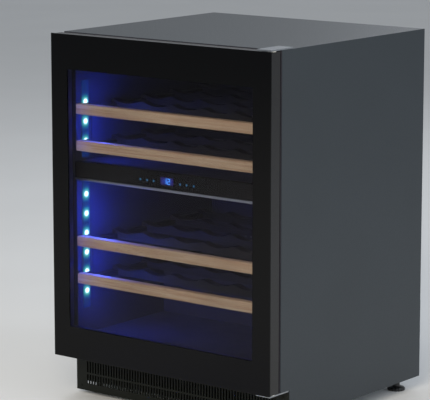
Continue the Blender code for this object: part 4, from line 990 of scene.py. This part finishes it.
low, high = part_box("hinge_bracket_lower")
places = [(x, low.y + away, low.z) for x in (low.x + HINGE_MARGIN, high.x - HINGE_MARGIN)
          for away in HINGE_AWAY]
new_piece("lower_hinge_screws", screw_heads(places, "-Z", 0.0038, 0.0016), finishes["zinc_steel"],
          "cabinet")

for zone in ("upper", "lower"):
    low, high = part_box(f"duct_cover_{zone}")
    places = [(x, low.y, z) for x in (low.x + DUCT_MARGIN, high.x - DUCT_MARGIN)
              for z in (low.z + DUCT_MARGIN, high.z - DUCT_MARGIN)]
    new_piece(f"duct_screws_{zone}", screw_heads(places, "-Y", 0.0036, 0.0013),
              finishes["black_plastic"], "cabinet")
print("screws on the back, plinth, hinge and ducts")

# %% [markdown]
# ## Levelling feet
#
# Each foot is a plastic pad with a ribbed rim, for fingers, on a steel stud with a metric
# thread. Blender's Screw modifier could wind the thread, but a radius that depends on height and
# angle together does the same: at a given angle the crest sits angle / 2 pi of a pitch higher.

# %% Studs and pads
THREAD_PITCH = 0.0015
THREAD_DEPTH = 0.0008
STUD_RADIUS = 0.0050
STUD_ROWS_PER_TURN = 6
PAD_RIBS = 16
PAD_HEIGHT = 0.0115
COLLAR_TOP = 0.0297
STUD_LOW = 0.0150


def threaded_stud(place, low, high, steps=24):
    """r = R - depth * |2 frac(h / pitch - a / 2 pi) - 1|, easing to R - depth at both ends."""
    rows = int((high - low) / THREAD_PITCH * STUD_ROWS_PER_TURN)
    h = np.linspace(low, high, rows)[:, None]
    angle = np.linspace(0, 2 * math.pi, steps, endpoint=False)
    wave = np.abs(2 * np.mod(h / THREAD_PITCH - angle / (2 * math.pi), 1) - 1)
    fade = np.clip(np.minimum(h - low, high - h) / THREAD_PITCH, 0, 1)
    r = STUD_RADIUS - THREAD_DEPTH * (1 - fade * (1 - wave))
    tall = h + 0 * angle
    r = np.concatenate([0 * r[:1], r, 0 * r[:1]])
    tall = np.concatenate([tall[:1], tall, tall[-1:]])
    return turned(r, tall, place, "Z", steps)


def ribbed_pad(place, radius, collar, pad, steps=96):
    """A low dome under a collar. Its rim waves in and out: r * (1 - 0.03 rim (1 + cos(n a)))."""
    share = np.array([0.0, 0.96, 1.0, 1.0, 0.97, 0.88, 0.70, 0.42, 0.40, 0.40, 0.36, 0.0])
    rise = np.array([0.0, 0.0, 0.06, 0.38, 0.50, 0.62, 0.72, 0.82, 0.90, 1.50, 1.58, 1.58])
    angle = np.linspace(0, 2 * math.pi, steps, endpoint=False)
    rim = (np.clip((share - 0.8) / 0.2, 0, 1))[:, None]
    r = radius * share[:, None] * (1 - 0.03 * rim * (1 + np.cos(PAD_RIBS * angle)))
    tall = np.minimum(rise * pad, collar)[:, None] + 0 * angle
    return turned(r, tall, place, "Z", steps)


for corner in ("front_left", "front_right", "rear_left", "rear_right"):
    node = f"levelling_foot_{corner}"
    low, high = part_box(node)
    centre = ((low.x + high.x) / 2, (low.y + high.y) / 2, low.z)
    pad = ribbed_pad(centre, (high.x - low.x) / 2, COLLAR_TOP, PAD_HEIGHT)
    new_piece(f"foot_pad_{corner}", pad, finishes["black_plastic"],
              f"foot_{corner}", [node])
    stud = threaded_stud(centre, STUD_LOW, high.z)
    new_piece(f"foot_stud_{corner}", stud, finishes["zinc_steel"],
              f"foot_{corner}", [node])
print("four ribbed pads on threaded studs")

# %% [markdown]
# ## Mains inlet
#
# The recessed inlet at the back takes a removable lead. Three flat nickel pins stand in it, the
# middle one, for earth, a little lower. Their tips are rounded, so that the plug finds them.

# %% Inlet pins
inlet_low, inlet_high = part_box("mains_inlet")
inlet_middle = (inlet_low + inlet_high) / 2
PIN = (0.0040, 0.0100, 0.0020)
PIN_AWAY = 0.0065
PIN_DROP = 0.0030
PIN_ROOT = 0.0015
PIN_ROUND = 0.0007
pins = []
for x, z in ((-PIN_AWAY, PIN_DROP), (0.0, -PIN_DROP), (PIN_AWAY, PIN_DROP)):
    root = np.array([inlet_middle.x + x, inlet_high.y - PIN_ROOT, inlet_middle.z + z])
    half = np.array([PIN[2] / 2, 0.0, PIN[0] / 2])
    pins.append(rounded_bar(root - half - (0, PIN[1], 0), root + half, PIN_ROUND))
new_piece("inlet_pins", pins, finishes["zinc_steel"], "cabinet")
print("inlet pins:", len(pins))

# %% [markdown]
# ## Keep the sizes and finish
#
# The box of the CAD model is printed. The dressed cooler has to keep it, because looks never
# change a size.

# %% Sizes
print("CAD box", [list(map(float, c)) for c in cad_box])
